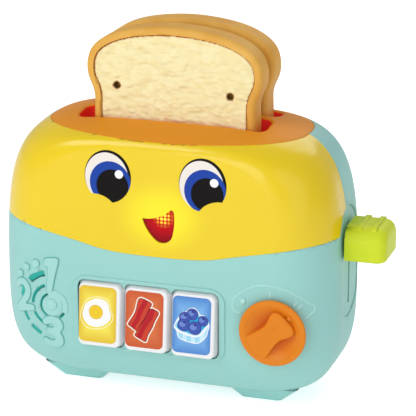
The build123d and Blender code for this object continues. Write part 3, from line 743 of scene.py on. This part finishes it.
def plateFrom(name, loop, place, low, high):
    # a thin plate with this outline; place turns (u, v, height) into a point of the frame
    count = len(loop)
    bpy.ops.mesh.primitive_cylinder_add(vertices=count, radius=1, depth=1, end_fill_type="NGON")
    plate = bpy.context.object
    plate.name = name
    plate.data.name = name
    for vertex in plate.data.vertices:
        index = round(math.atan2(vertex.co.y, vertex.co.x) / (2 * math.pi) * count) % count
        height = high if vertex.co.z > 0 else low
        vertex.co = place(loop[index].x, loop[index].y, height)
    outwards(plate)
    return plate


# stickers on the buttons

button = {
    "centres": {"egg": -34.3, "bacon": -4.9, "berry": 24.5},
    "z": 53.2,
    "frontY": 53.5,
    "lean": 5.0,
    "bodies": {"egg": "egg_key", "bacon": "bacon_key", "berry": "berry_key"},
}
sticker = {
    "centre": (-0.9, 0.6),
    "half": (11.8, 17.2),
    "corner": 3.2,
    "film": 0.08,
    "ink": 0.03,              # step from one ink to the next
    "sink": 0.02,
    "fade": 1.08,             # field of the deepening tone, as a share of the half size
    "fadeStops": (0.5, 0.95),
}


def onButton(name):
    lean = math.radians(button["lean"])
    start = at(button["centres"][name], -button["frontY"], button["z"])
    across = Vector((1, 0, 0)) * mm
    upwards = Vector((0, math.sin(lean), math.cos(lean))) * mm
    outward = Vector((0, -math.cos(lean), math.sin(lean))) * mm
    return lambda u, v, height: start + across * u + upwards * v + outward * height


label = {"roughness": 0.3, "shine": 0.3, "grain": 900.0, "grainHeight": 0.02, "grainDepth": 0.0001}
ink = {"roughness": 0.3, "grainHeight": 0.01, "drift": 0.015}
streak = {"roughness": 0.32, "shine": 0.2, "stops": (0.42, 0.68),
          "wave": {"Distortion": 3.0, "Detail": 2.0, "Detail Scale": 1.2}}


def labelGrain(tree, shader):
    addBump(tree, shader, noiseOn(tree, label["grain"], 2.0), label["grainHeight"], label["grainDepth"])


def stickerFinish(name, tone, edgeTone):
    # paler in the middle, deeper towards the edges, as printed
    material, tree, shader = newFinish(name, label["roughness"], label["shine"])
    centre = onButton(name.replace("Sticker", ""))(*sticker["centre"], 0)
    wide, high = (half * mm * sticker["fade"] for half in sticker["half"])
    place = splitOf(tree, placeFrom(tree, centre, (wide, 1.0, high)))
    farthest = mathOn(tree, "MAXIMUM", *(mathOn(tree, "ABSOLUTE", place[axis]) for axis in ("X", "Z")))
    blend = blendTones(tree, farthest, toneOf(*tone), toneOf(*edgeTone), *sticker["fadeStops"])
    tree.links.new(blend, shader.inputs["Base Color"])
    labelGrain(tree, shader)
    return material


def inkFinish(name, tone, shine=0.2):
    return mouldedPlastic(name, tone, shine=shine, **ink)


def streakFinish(name, toneA, toneB, turn, scale):
    # two inks in wavy streaks that run along the strip
    material, tree, shader = newFinish(name, streak["roughness"], streak["shine"])
    lean = tree.nodes.new("ShaderNodeMapping")
    lean.inputs["Rotation"].default_value = (0, math.radians(turn), 0)
    tree.links.new(objectPlace(tree), lean.inputs["Vector"])
    wave = tree.nodes.new("ShaderNodeTexWave")
    wave.wave_type = "BANDS"
    wave.bands_direction = "X"
    wave.inputs["Scale"].default_value = scale
    for entry, value in streak["wave"].items():
        wave.inputs[entry].default_value = value
    tree.links.new(lean.outputs["Vector"], wave.inputs["Vector"])
    blend = blendTones(tree, wave.outputs["Fac"], toneOf(*toneA), toneOf(*toneB), *streak["stops"])
    tree.links.new(blend, shader.inputs["Base Color"])
    labelGrain(tree, shader)
    return material


stickerTones = {
    "eggSticker": ((243, 226, 84), (226, 186, 44)),
    "baconSticker": ((216, 112, 62), (202, 84, 40)),
    "berrySticker": ((120, 178, 232), (74, 130, 206)),
}
inkTones = {
    "inkWhite": (246, 246, 248),
    "inkCream": (250, 244, 190),
    "inkCreamWhite": (250, 236, 222),
    "inkYolk": (242, 206, 44),
    "inkYolkEdge": (232, 186, 44),
    "inkMaroon": (118, 18, 34),
    "inkBerry": (64, 88, 176),
    "inkBerryDark": (52, 52, 130),
    "inkBerryLight": (108, 136, 208),
    "inkCyan": (38, 168, 226),
}
# the two tones, the turn in degrees and the pattern's scale
streaks = {
    "inkBacon": ((184, 26, 38), (204, 66, 44), -24.0, 52.0),
    "inkPunnetSide": ((160, 216, 244), (200, 234, 250), 0.0, 60.0),
}
for name, tones in stickerTones.items():
    finishes[name] = stickerFinish(name, *tones)
for name, tone in inkTones.items():
    finishes[name] = inkFinish(name, tone)
for name, spec in streaks.items():
    finishes[name] = streakFinish(name, *spec)

# outlines of the printed shapes
eggWhite = [(-3.2, 10.0), (0.6, 10.4), (4.4, 9.2), (6.0, 6.8), (6.4, 4.2), (7.5, 1.4), (7.3, -1.3), (4.4, -4.8),
            (0.6, -6.7), (-3.4, -7.1), (-7.2, -6.0), (-9.4, -3.4), (-10.4, -0.4), (-9.6, 3.6), (-8.0, 7.0)]
eggRing = [(-2.2, 11.5), (2.0, 11.6), (5.6, 10.2), (7.2, 7.0), (7.6, 4.2), (8.9, 1.0), (8.8, -2.0), (5.6, -6.0),
           (1.2, -8.1), (-3.8, -8.6), (-8.2, -7.9), (-10.8, -5.0), (-12.0, -1.2), (-11.2, 3.2), (-9.4, 7.2),
           (-6.6, 10.2)]
stripOne = [(-4.8, 12.6), (-3.2, 13.8), (0.2, 12.9), (3.4, 11.4), (3.5, 9.8), (1.6, 6.0), (-0.4, 1.6), (-3.0, -2.6),
            (-5.0, -6.6), (-6.2, -6.5), (-8.6, -4.9), (-11.0, -3.2), (-10.2, -1.2), (-7.8, 2.8), (-6.2, 6.6),
            (-5.6, 10.0)]
stripTwo = [(2.2, 7.4), (3.9, 8.1), (6.2, 7.4), (8.0, 6.3), (7.8, 4.4), (5.8, 0.4), (4.2, -4.0), (1.8, -8.6),
            (0.8, -12.2), (-0.6, -12.6), (-3.8, -11.2), (-6.7, -9.4), (-5.6, -7.0), (-3.2, -2.6), (-0.8, 1.2),
            (0.8, 4.8)]
berryGroup = [(-8.6, 5.6), (-6.8, 8.2), (-4.2, 8.9), (-2.4, 10.8), (0.8, 11.4), (3.2, 9.4), (4.4, 7.8), (7.0, 7.4),
              (9.0, 4.6), (10.0, 2.6), (10.2, 0.6), (9.4, -2.0), (8.6, -5.2), (5.6, -8.6), (2.4, -10.2), (-2.0, -9.9),
              (-7.2, -8.6), (-9.2, -7.0), (-10.2, -3.6), (-11.8, -1.4), (-10.6, 2.2)]
punnetInside = [(-10.0, -0.6), (-7.8, -2.9), (-3.2, -3.9), (0.5, -4.5), (3.3, -4.0), (6.0, -1.2), (8.4, 2.2),
                (7.0, 5.0), (0.0, 7.0), (-7.0, 5.0)]
punnetRim = [(-11.2, -0.9), (-8.0, -3.3), (-3.2, -4.7), (0.5, -5.2), (3.5, -4.7), (6.4, -2.0), (9.2, 1.9),
             (9.6, 1.1), (6.8, -3.0), (3.8, -5.8), (0.4, -6.2), (-3.5, -5.7), (-8.5, -4.3), (-11.2, -2.2)]
yolk = {
    "centre": (-2.0, 2.0),
    "circles": (("eggYolk", 4.4, "inkYolkEdge"), ("eggYolkMiddle", 3.7, "inkYolk"),
                ("eggYolkRing", 2.2, "inkYolkEdge"), ("eggYolkSpot", 1.8, "inkYolk")),
}
bacon = {"strips": (stripOne, stripTwo), "step": 0.5}
berry = {
    "level": 4.2,                   # of the first berry's lowest ink
    "step": 0.2,
    "spots": ((-0.4, 7.4, 3.6), (6.2, 4.0, 3.2), (-5.0, 4.9, 3.6), (-5.6, 0.4, 3.8), (1.2, -0.8, 4.1)),
    "edge": 0.35,
    "bloomShift": (-0.9, 0.4),
    "bloomShare": (0.5, 0.42),      # of the berry's radius
    "crownShift": (0.3, 0.45),      # to the side in millimetres, up as a share of the radius
    "crownRadii": (0.9, 0.7),
}
# how far these outlines are moved outwards
growth = {"eggGap": -0.5, "stripOutline": 0.75, "stripMeat": -0.4, "punnetBody": -0.55}


def loopArea(loop):
    return sum(loop[i - 1][0] * loop[i][1] - loop[i][0] * loop[i - 1][1] for i in range(len(loop))) / 2


def grown(points, reach):
    # the smooth outline moved outwards by so many millimetres
    loop = smoothLoop(points)
    way = reach if loopArea(loop) > 0 else -reach
    wider = []
    for index, point in enumerate(loop):
        along = loop[(index + 1) % len(loop)] - loop[index - 1]
        wider.append(point + Vector((along.y, -along.x)).normalized() * way)
    return wider


def layOnButton(key, name, loop, low, high, finishName):
    piece = plateFrom(name, loop, onButton(key), low - sticker["sink"], high)
    giveFinish(piece, finishes[finishName])
    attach(piece, button["bodies"][key])


def printShape(key, name, loop, level, finishName):
    # the lowest ink has level 1
    film = sticker["film"]
    layOnButton(key, name, loop, film, film + sticker["ink"] * level, finishName)


def makeSticker(key):
    shift = Vector(sticker["centre"])
    loop = [point + shift for point in roundedLoop(*sticker["half"], sticker["corner"])]
    layOnButton(key, key + "Label", loop, 0, sticker["film"], key + "Sticker")


def printBerry(index, u, v, radius):
    bloomU, bloomV = berry["bloomShift"]
    crownU, crownV = berry["crownShift"]
    shapes = (
        ("Edge", ovalLoop(u, v, radius), "inkBerryDark"),
        ("Skin", ovalLoop(u, v, radius - berry["edge"]), "inkBerry"),
        ("Bloom", ovalLoop(u + bloomU, v + bloomV, *(radius * share for share in berry["bloomShare"])),
         "inkBerryLight"),
        ("Crown", ovalLoop(u + crownU, v + radius * crownV, *berry["crownRadii"]), "inkBerryDark"),
    )
    for step, (shape, loop, finishName) in enumerate(shapes):
        printShape("berry", f"berry{shape}{index}", loop, berry["level"] + index + berry["step"] * step, finishName)


for key in button["centres"]:
    makeSticker(key)

printShape("egg", "eggOutline", smoothLoop(eggRing), 1, "inkCream")
printShape("egg", "eggGap", grown(eggRing, growth["eggGap"]), 2, "eggSticker")
printShape("egg", "eggWhite", smoothLoop(eggWhite), 3, "inkWhite")
for index, (name, radius, finishName) in enumerate(yolk["circles"]):
    printShape("egg", name, ovalLoop(*yolk["centre"], radius), 4 + index, finishName)

for index, strip in enumerate(bacon["strips"]):
    lift = bacon["step"] * index
    printShape("bacon", f"stripOutline{index}", grown(strip, growth["stripOutline"]), 1 + lift, "inkCreamWhite")
    printShape("bacon", f"stripEdge{index}", smoothLoop(strip), 2 + lift, "inkMaroon")
    printShape("bacon", f"stripMeat{index}", grown(strip, growth["stripMeat"]), 3 + lift, "inkBacon")

printShape("berry", "punnetOutline", smoothLoop(berryGroup), 1, "inkWhite")
printShape("berry", "punnetBody", grown(berryGroup, growth["punnetBody"]), 2, "inkPunnetSide")
printShape("berry", "punnetInside", smoothLoop(punnetInside), 3, "inkCyan")
printShape("berry", "punnetRim", smoothLoop(punnetRim), 4, "inkWhite")
for index, spec in enumerate(berry["spots"]):
    printBerry(index, *spec)
print("buttons labelled")


# raised figures, dots and dial marks on the teal front

relief = {
    "rise": 1.15,
    "root": 1.0,
    "voxel": 0.3,
    "softness": 0.5,
    "figureRounds": 4,         # of softening
    # painted shade: a darker teal film round the foot of each figure and dot
    "shadeFilm": 0.5,               # shaded line round the foot of each figure
    "shadeFilmRise": 0.05,
    "shadeFilmRoot": 0.3,
    "shadeFilmVoxel": 0.16,
    "smooth": 60,
    "behind": 200,             # where the rays that measure the rear half start
    "speaker": (-65.6, 54.4),
}
figureOne = [(-70.6, 81.6), (-69.9, 83.9), (-66.8, 84.7), (-62.6, 85.0), (-61.2, 83.9), (-61.5, 81.5), (-63.0, 76.0),
             (-64.4, 70.0), (-65.3, 65.2), (-66.2, 63.4), (-67.8, 63.2), (-69.1, 64.4), (-68.9, 68.0), (-68.4, 74.0),
             (-68.1, 78.6), (-69.0, 79.2), (-70.4, 79.2)]
figureTwo = [(-91.6, 64.2), (-90.6, 66.6), (-88.4, 68.3), (-85.7, 68.9), (-83.0, 67.8), (-80.9, 65.2), (-80.2, 61.1),
             (-81.4, 57.0), (-83.6, 53.9), (-84.0, 53.0), (-81.0, 53.2), (-78.6, 53.1), (-77.6, 51.8), (-78.2, 49.8),
             (-81.0, 49.0), (-86.0, 47.6), (-90.2, 46.4), (-91.6, 47.6), (-91.2, 50.6), (-88.6, 54.0), (-85.9, 57.4),
             (-84.4, 60.4), (-84.3, 62.7), (-85.6, 64.4), (-87.4, 64.3), (-88.7, 62.8), (-90.8, 62.4)]
counterTwo = [(-84.5, 62.4), (-85.7, 64.2), (-87.4, 64.0), (-87.2, 62.2), (-87.4, 60.2), (-88.2, 58.0), (-86.6, 57.0),
              (-84.9, 60.0)]
figureThree = [(-72.3, 44.4), (-70.6, 46.6), (-66.6, 47.8), (-62.2, 46.9), (-59.5, 43.8), (-59.3, 40.6),
               (-61.0, 37.8), (-59.6, 34.8), (-59.4, 31.0), (-61.2, 28.2), (-65.0, 26.6), (-69.4, 27.0),
               (-72.2, 28.8), (-73.2, 31.0), (-71.8, 32.8), (-69.8, 32.4), (-67.6, 31.4), (-65.4, 32.0),
               (-64.8, 33.9), (-66.6, 35.4), (-69.2, 36.2), (-70.2, 38.2), (-69.0, 40.0), (-66.4, 40.2),
               (-64.9, 41.4), (-65.8, 42.9), (-68.2, 42.6), (-70.2, 41.8), (-71.9, 42.6)]
dots = {
    "spots": ((-76.0, 80.2, 2.5), (-82.7, 76.9, 2.2), (-87.5, 71.8, 2.0)),
    "rise": 1.2,
    "rounds": 9,
    "shadeFilm": 0.3,
    "sides": 40,
}

rearMesh = dressed["rear_casing"].data
rearSkin = BVHTree.FromPolygons([vertex.co for vertex in rearMesh.vertices],
                                [tuple(face.vertices) for face in rearMesh.polygons])


def frontDepth(x, z):
    # the casing's front surface in millimetres, taken from the plain rear half, which has the same form
    spot = rearSkin.ray_cast(at(x, relief["behind"], z), Vector((0, -1, 0)))[0]
    return -(spot.y - middle.y) / mm if spot else 0.0


def drape(piece):
    # height zero of the piece, at y = 0, is laid on the casing's front
    for vertex in piece.data.vertices:
        spot = vertex.co / mm
        vertex.co = at(spot.x, frontDepth(spot.x, spot.z) + spot.y, spot.z)


def flatPlace(u, v, height):
    return Vector((u, -height, v)) * mm


def joinAll(pieces, name):
    clearSelection()
    for piece in pieces:
        piece.select_set(True)
    bpy.context.view_layer.objects.active = pieces[0]
    if len(pieces) > 1:
        bpy.ops.object.join()
    whole = bpy.context.object
    whole.name = name
    whole.data.name = name
    return whole


def seatOnCasing(piece, finish):
    drape(piece)
    smoothSides(piece, relief["smooth"])
    giveFinish(piece, finishes[finish])
    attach(piece, "casing")


def raisedFigure(name, loops, rise=relief["rise"], rounds=6, finish="litFigureTeal"):
    # soft-edged plastic that grows out of the casing, by default in a lighter teal as painted highlight
    whole = joinAll([plateFrom(name, loop, flatPlace, -relief["root"], rise) for loop in loops], name)
    voxelSkin(whole, relief["voxel"])
    soften = whole.modifiers.new("softEdge", "SMOOTH")
    soften.factor = relief["softness"]
    soften.iterations = rounds
    applyModifier(whole, soften)
    seatOnCasing(whole, finish)


def makeShadeFilm(name, loop, finish="shadeTeal"):
    # painted shade: a darker film a little wider than the figure; its edge shows as the shaded line at the foot
    film = plateFrom(name, loop, flatPlace, -relief["shadeFilmRoot"], relief["shadeFilmRise"])
    voxelSkin(film, relief["shadeFilmVoxel"])
    seatOnCasing(film, finish)


figures = {"figureOne": figureOne, "figureTwo": figureTwo, "figureThree": figureThree}
for name, outline in figures.items():
    raisedFigure(name, [smoothLoop(outline)], rounds=relief["figureRounds"])
for name, outline in figures.items():
    makeShadeFilm(name + "Moat", grown(outline, relief["shadeFilm"]))
# painted shade: a dark film in the counter of the 2, standing in for the shade of a sunken slot that is not modelled
makeShadeFilm("figureTwoCounter", smoothLoop(counterTwo), "sunkenShadeTeal")
for index, (x, z, radius) in enumerate(dots["spots"]):
    loop = ovalLoop(x, z, radius, count=dots["sides"])
    foot = ovalLoop(x, z, radius + dots["shadeFilm"], count=dots["sides"])
    raisedFigure(f"figureDot{index}", [loop], dots["rise"], dots["rounds"])
    makeShadeFilm(f"figureDot{index}Moat", foot)
print("figures raised")


# speaker hub: a low disc with a button in its middle and a curved rib on its right

hub = {
    "inner": 6.6,
    "outer": 9.8,
    "start": -28.0,
    "end": 108.0,
    "overlap": 2.0,
    "rise": 0.6,
    "knob": {"shift": (-0.6, 1.0), "radius": 3.4, "rise": 1.5, "rounds": 14},
    "rib": {"radii": (5.2, 6.4), "angles": (-50, 30), "rise": 1.2, "rounds": 5},
}


def sectorLoop(radiusIn, radiusOut, start, end, count=40):
    x, z = relief["speaker"]
    angles = [math.radians(start + (end - start) * i / (count - 1)) for i in range(count)]
    outerArc = [Vector((x + radiusOut * math.cos(a), z + radiusOut * math.sin(a))) for a in angles]
    innerArc = [Vector((x + radiusIn * math.cos(a), z + radiusIn * math.sin(a))) for a in reversed(angles)]
    return outerArc + innerArc


def makeHub():
    x, z = relief["speaker"]
    knob, rib = hub["knob"], hub["rib"]
    wing = sectorLoop(hub["inner"] - hub["overlap"], hub["outer"], hub["start"], hub["end"])
    raisedFigure("speakerHub", [ovalLoop(x, z, hub["inner"]), wing], hub["rise"])
    disc = ovalLoop(x + knob["shift"][0], z + knob["shift"][1], knob["radius"])
    raisedFigure("speakerKnob", [disc], knob["rise"], knob["rounds"])
    raisedFigure("speakerRib", [sectorLoop(*rib["radii"], *rib["angles"])], rib["rise"], rib["rounds"])


makeHub()


# sloping ledges inside the grille slots, each with a narrow slit left open along its inner side

ledge = {
    "slots": ((7.0, 8.4, 115, 240), (7.4, 9.0, 300, 330), (12.2, 14.2, 112, 180), (12.4, 14.4, 204, 256),
              (18.7, 22.5, 104, 137), (19.8, 22.0, 200, 216), (19.8, 22.6, 225, 246)),
    "slit": 0.45,
    "depths": (0.5, 1.9),      # below the surface at the outer and the inner side
    "thickness": 0.4,
    "columns": 29,
    "past": 1.0,               # degrees by which it goes on into the slot's end walls
    "into": 0.1,               # and millimetres into the outer wall
    "smooth": 30,
}


def makeLedge(index, spec):
    radiusIn, radiusOut, start, end = spec
    x, z = relief["speaker"]
    inner, outer = radiusIn + ledge["slit"], radiusOut + ledge["into"]
    high, low = ledge["depths"]
    bpy.ops.mesh.primitive_grid_add(x_subdivisions=ledge["columns"], y_subdivisions=1, size=2)
    piece = bpy.context.object
    piece.name = f"grilleLedge{index}"
    for vertex in piece.data.vertices:
        share = (vertex.co.x + 1) / 2
        side = (vertex.co.y + 1) / 2
        angle = math.radians(start - ledge["past"] + (end - start + 2 * ledge["past"]) * share)
        radius = inner + (outer - inner) * side
        px = x + radius * math.cos(angle)
        pz = z + radius * math.sin(angle)
        depth = low + (high - low) * side
        vertex.co = at(px, frontDepth(px, pz) + depth, pz)
    thick = piece.modifiers.new("thick", "SOLIDIFY")
    thick.thickness = ledge["thickness"] * mm
    thick.offset = 0
    applyModifier(piece, thick)
    outwards(piece)
    smoothSides(piece, ledge["smooth"])
    # painted shade: the ledges take a darker copy of the casing teal
    giveFinish(piece, finishes["sunkenShadeTeal"])
    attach(piece, "casing")


for index, spec in enumerate(ledge["slots"]):
    makeLedge(index, spec)
print("speaker hub and ledges seated")


# dial marks round the knob

dialMarks = {
    "line": [(52.3, 63.4), (49.4, 63.9), (47.6, 65.8), (47.2, 68.6), (48.2, 71.6), (53.2, 76.5), (57.8, 79.4),
             (62.8, 81.2), (67.8, 81.9), (72.8, 81.5), (78.0, 80.1), (82.9, 77.7), (87.7, 74.4), (91.9, 71.1),
             (94.0, 69.2), (94.3, 67.2), (92.4, 64.6), (89.2, 62.0)],
    "lineRadius": 0.6,
    "lineSink": 0.25,
    "bars": (((70.2, 79.2), (70.3, 75.1)), ((85.6, 72.9), (83.4, 69.9)), ((87.9, 71.2), (85.3, 68.0))),
    "barRadius": 0.75,
    "barSink": 0.3,
    "dot": (53.8, 70.9, 1.7),
    "dotRise": 0.8,
    "dotRounds": 8,
}


def makeRaisedLine(name, points, radius, sink):
    # a round bead laid along the points and sunk in the casing, in a lighter teal as painted highlight
    spots = [at(x, frontDepth(x, z) + sink, z) for x, z in points]
    makeBead(name, spots, radius, "litMarkTeal")


makeRaisedLine("dialLine", dialMarks["line"], dialMarks["lineRadius"], dialMarks["lineSink"])
for index, bar in enumerate(dialMarks["bars"]):
    makeRaisedLine(f"dialBar{index}", bar, dialMarks["barRadius"], dialMarks["barSink"])
raisedFigure("dialDot", [ovalLoop(*dialMarks["dot"], count=dots["sides"])], dialMarks["dotRise"],
             dialMarks["dotRounds"], "litMarkTeal")
print("dial marked")


# mouth: a red lens over a lamp, its rear moulded in a fine grid

mouth = {
    "roughness": 0.12,
    "shine": 0.12,
    "grain": 400.0,
    "grainHeight": 0.05,
    "grainDepth": 0.0002,
    "glowSpot": (4.6, 116.8),
    "glowReach": 7.0,
    "glowTop": 1.3,
    "darkFrom": 7.0,
    "darkTo": 19.0,
    "gridStep": 2.3,
    "nearTone": (196, 6, 24),
    "farTone": (84, 8, 20),
    "litTone": (252, 214, 50),
    "glow": 0.9,
    # the lamp's light from dark to bright, as place and scene-linear colour
    "glowStops": ((0.2, (0, 0, 0, 1)), (0.36, (0.7, 0.09, 0.01, 1)), (0.6, (1.0, 0.8, 0.06, 1))),
}


def lensFinish():
    # painted light: red plastic with the lamp's light behind it painted on, lighter and yellow near the lamp in the
    # grid of the light spreader, and given out as emission
    material, tree, shader = newFinish("redLens", mouth["roughness"], mouth["shine"])
    place = splitOf(tree, placeFrom(tree, at(mouth["glowSpot"][0], 0, mouth["glowSpot"][1])))
    flat = tree.nodes.new("ShaderNodeCombineXYZ")
    waves = []
    for axis in ("X", "Z"):
        tree.links.new(place[axis], flat.inputs[axis])
        scaled = mathOn(tree, "MULTIPLY", place[axis], math.pi / (mouth["gridStep"] * mm))
        waves.append(mathOn(tree, "ABSOLUTE", mathOn(tree, "SINE", scaled)))
    reach = lengthOf(tree, flat.outputs[0])
    near = rangeOf(tree, reach, mouth["glowReach"] * mm, 0.0, mouth["glowTop"])
    bright = mathOn(tree, "MULTIPLY", near, mathOn(tree, "MULTIPLY", *waves))
    # painted shade: the red darkens away from the lamp
    far = rangeOf(tree, reach, mouth["darkFrom"] * mm, mouth["darkTo"] * mm)
    skin = blendTones(tree, far, toneOf(*mouth["nearTone"]), toneOf(*mouth["farTone"]))
    lit = overlay(tree, bright, skin, toneOf(*mouth["litTone"]))
    tree.links.new(lit, shader.inputs["Base Color"])
    (low, dark), warm, (high, hot) = mouth["glowStops"]
    glow = blendTones(tree, bright, dark, hot, low, high, warm)
    tree.links.new(glow, shader.inputs["Emission Color"])
    shader.inputs["Emission Strength"].default_value = mouth["glow"]
    addBump(tree, shader, noiseOn(tree, mouth["grain"], 2.0), mouth["grainHeight"], mouth["grainDepth"])
    return material


faceGlow = {
    "spot": (4.0, -49.0, 117.0),
    "reach": (32.0, 20.0, 26.0),
    "start": 1.0,    # share of the reach at which it begins
    "full": 0.2,     # and at which it is at its brightest
    "tone": (255, 240, 12),
    "share": 0.85,
}


def glowOnFace(material):
    # painted light: the yellow is painted lighter round the mouth, where the lamp's light falls
    tree = material.node_tree
    base = tree.nodes["Principled BSDF"].inputs["Base Color"]
    plain = base.links[0].from_socket
    reach = lengthOf(tree, placeFrom(tree, at(*faceGlow["spot"]), [size * mm for size in faceGlow["reach"]]))
    near = rangeOf(tree, reach, faceGlow["start"], faceGlow["full"], faceGlow["share"], "SMOOTHSTEP")
    tree.links.new(overlay(tree, near, plain, toneOf(*faceGlow["tone"])), base)


giveFinish(nodes["mouth_lens"], lensFinish())
glowOnFace(finishes["yellowPlastic"])
print("mouth lens lit")


# printed eyes

eye = {
    "centres": {"left": (-29.1, 138.8), "right": (29.1, 138.9)},
    # lowest first: shift from the centre, radii and tone
    "layers": {
        "Rim": ((0, 0), (14.4, 16.0), (22, 16, 16)),
        "White": ((-0.7, -0.6), (13.4, 15.1), (238, 231, 224)),
        "Iris": ((1.5, -3.8), (12.7, 13.2), (34, 70, 164)),
        "Pupil": ((2.8, -5.6), (9.9, 10.1), (18, 14, 14)),
        "Shine": ((7.0, 1.9), (2.55, 2.55), (252, 252, 252)),
    },
    "keptInRim": ("Iris", "Pupil"),
    # left unprinted: a circle counted from the eye's centre, and its radius
    "cheeks": {"left": (-8.1, -25.7, 14.6), "right": (10.6, -24.9, 15.6)},
    "faceY": -49.0,
    "layer": 0.04,
    "sink": 0.02,
    "toolReach": 1.0,
    "shine": 0.1,
    "segments": 96,
}


def diskPlate(name, x, z, radii, front, back):
    # a flat oval plate standing in the face plane
    bpy.ops.mesh.primitive_cylinder_add(vertices=eye["segments"], radius=1, depth=1, rotation=(math.pi / 2, 0, 0),
                                        location=at(x, (front + back) / 2, z))
    plate = bpy.context.object
    plate.name = name
    plate.scale = (radii[0] * mm, radii[1] * mm, (back - front) * mm)
    settleInMesh(plate)
    return plate


def makeEye(side):
    x, z = eye["centres"][side]
    cheekX, cheekZ, cheekRadius = eye["cheeks"][side]
    for level, (layer, ((shiftX, shiftZ), radii, tone)) in enumerate(eye["layers"].items()):
        front = eye["faceY"] - eye["layer"] * (level + 1)
        piece = diskPlate(f"{side}Eye{layer}", x + shiftX, z + shiftZ, radii, front, eye["faceY"] + eye["sink"])
        ends = (front - eye["toolReach"], eye["faceY"] + eye["toolReach"])
        if layer in eye["keptInRim"]:
            cutWith(piece, diskPlate("window", x, z, eye["layers"]["Rim"][1], *ends), "INTERSECT")
        cutWith(piece, diskPlate("cheek", x + cheekX, z + cheekZ, (cheekRadius, cheekRadius), *ends), "DIFFERENCE")
        giveFinish(piece, finishes["eye" + layer])
        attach(piece, "casing")


for layer, (shift, radii, tone) in eye["layers"].items():
    finishes["eye" + layer] = inkFinish("eye" + layer, tone, eye["shine"])
for side in eye["centres"]:
    makeEye(side)
print("eyes printed")
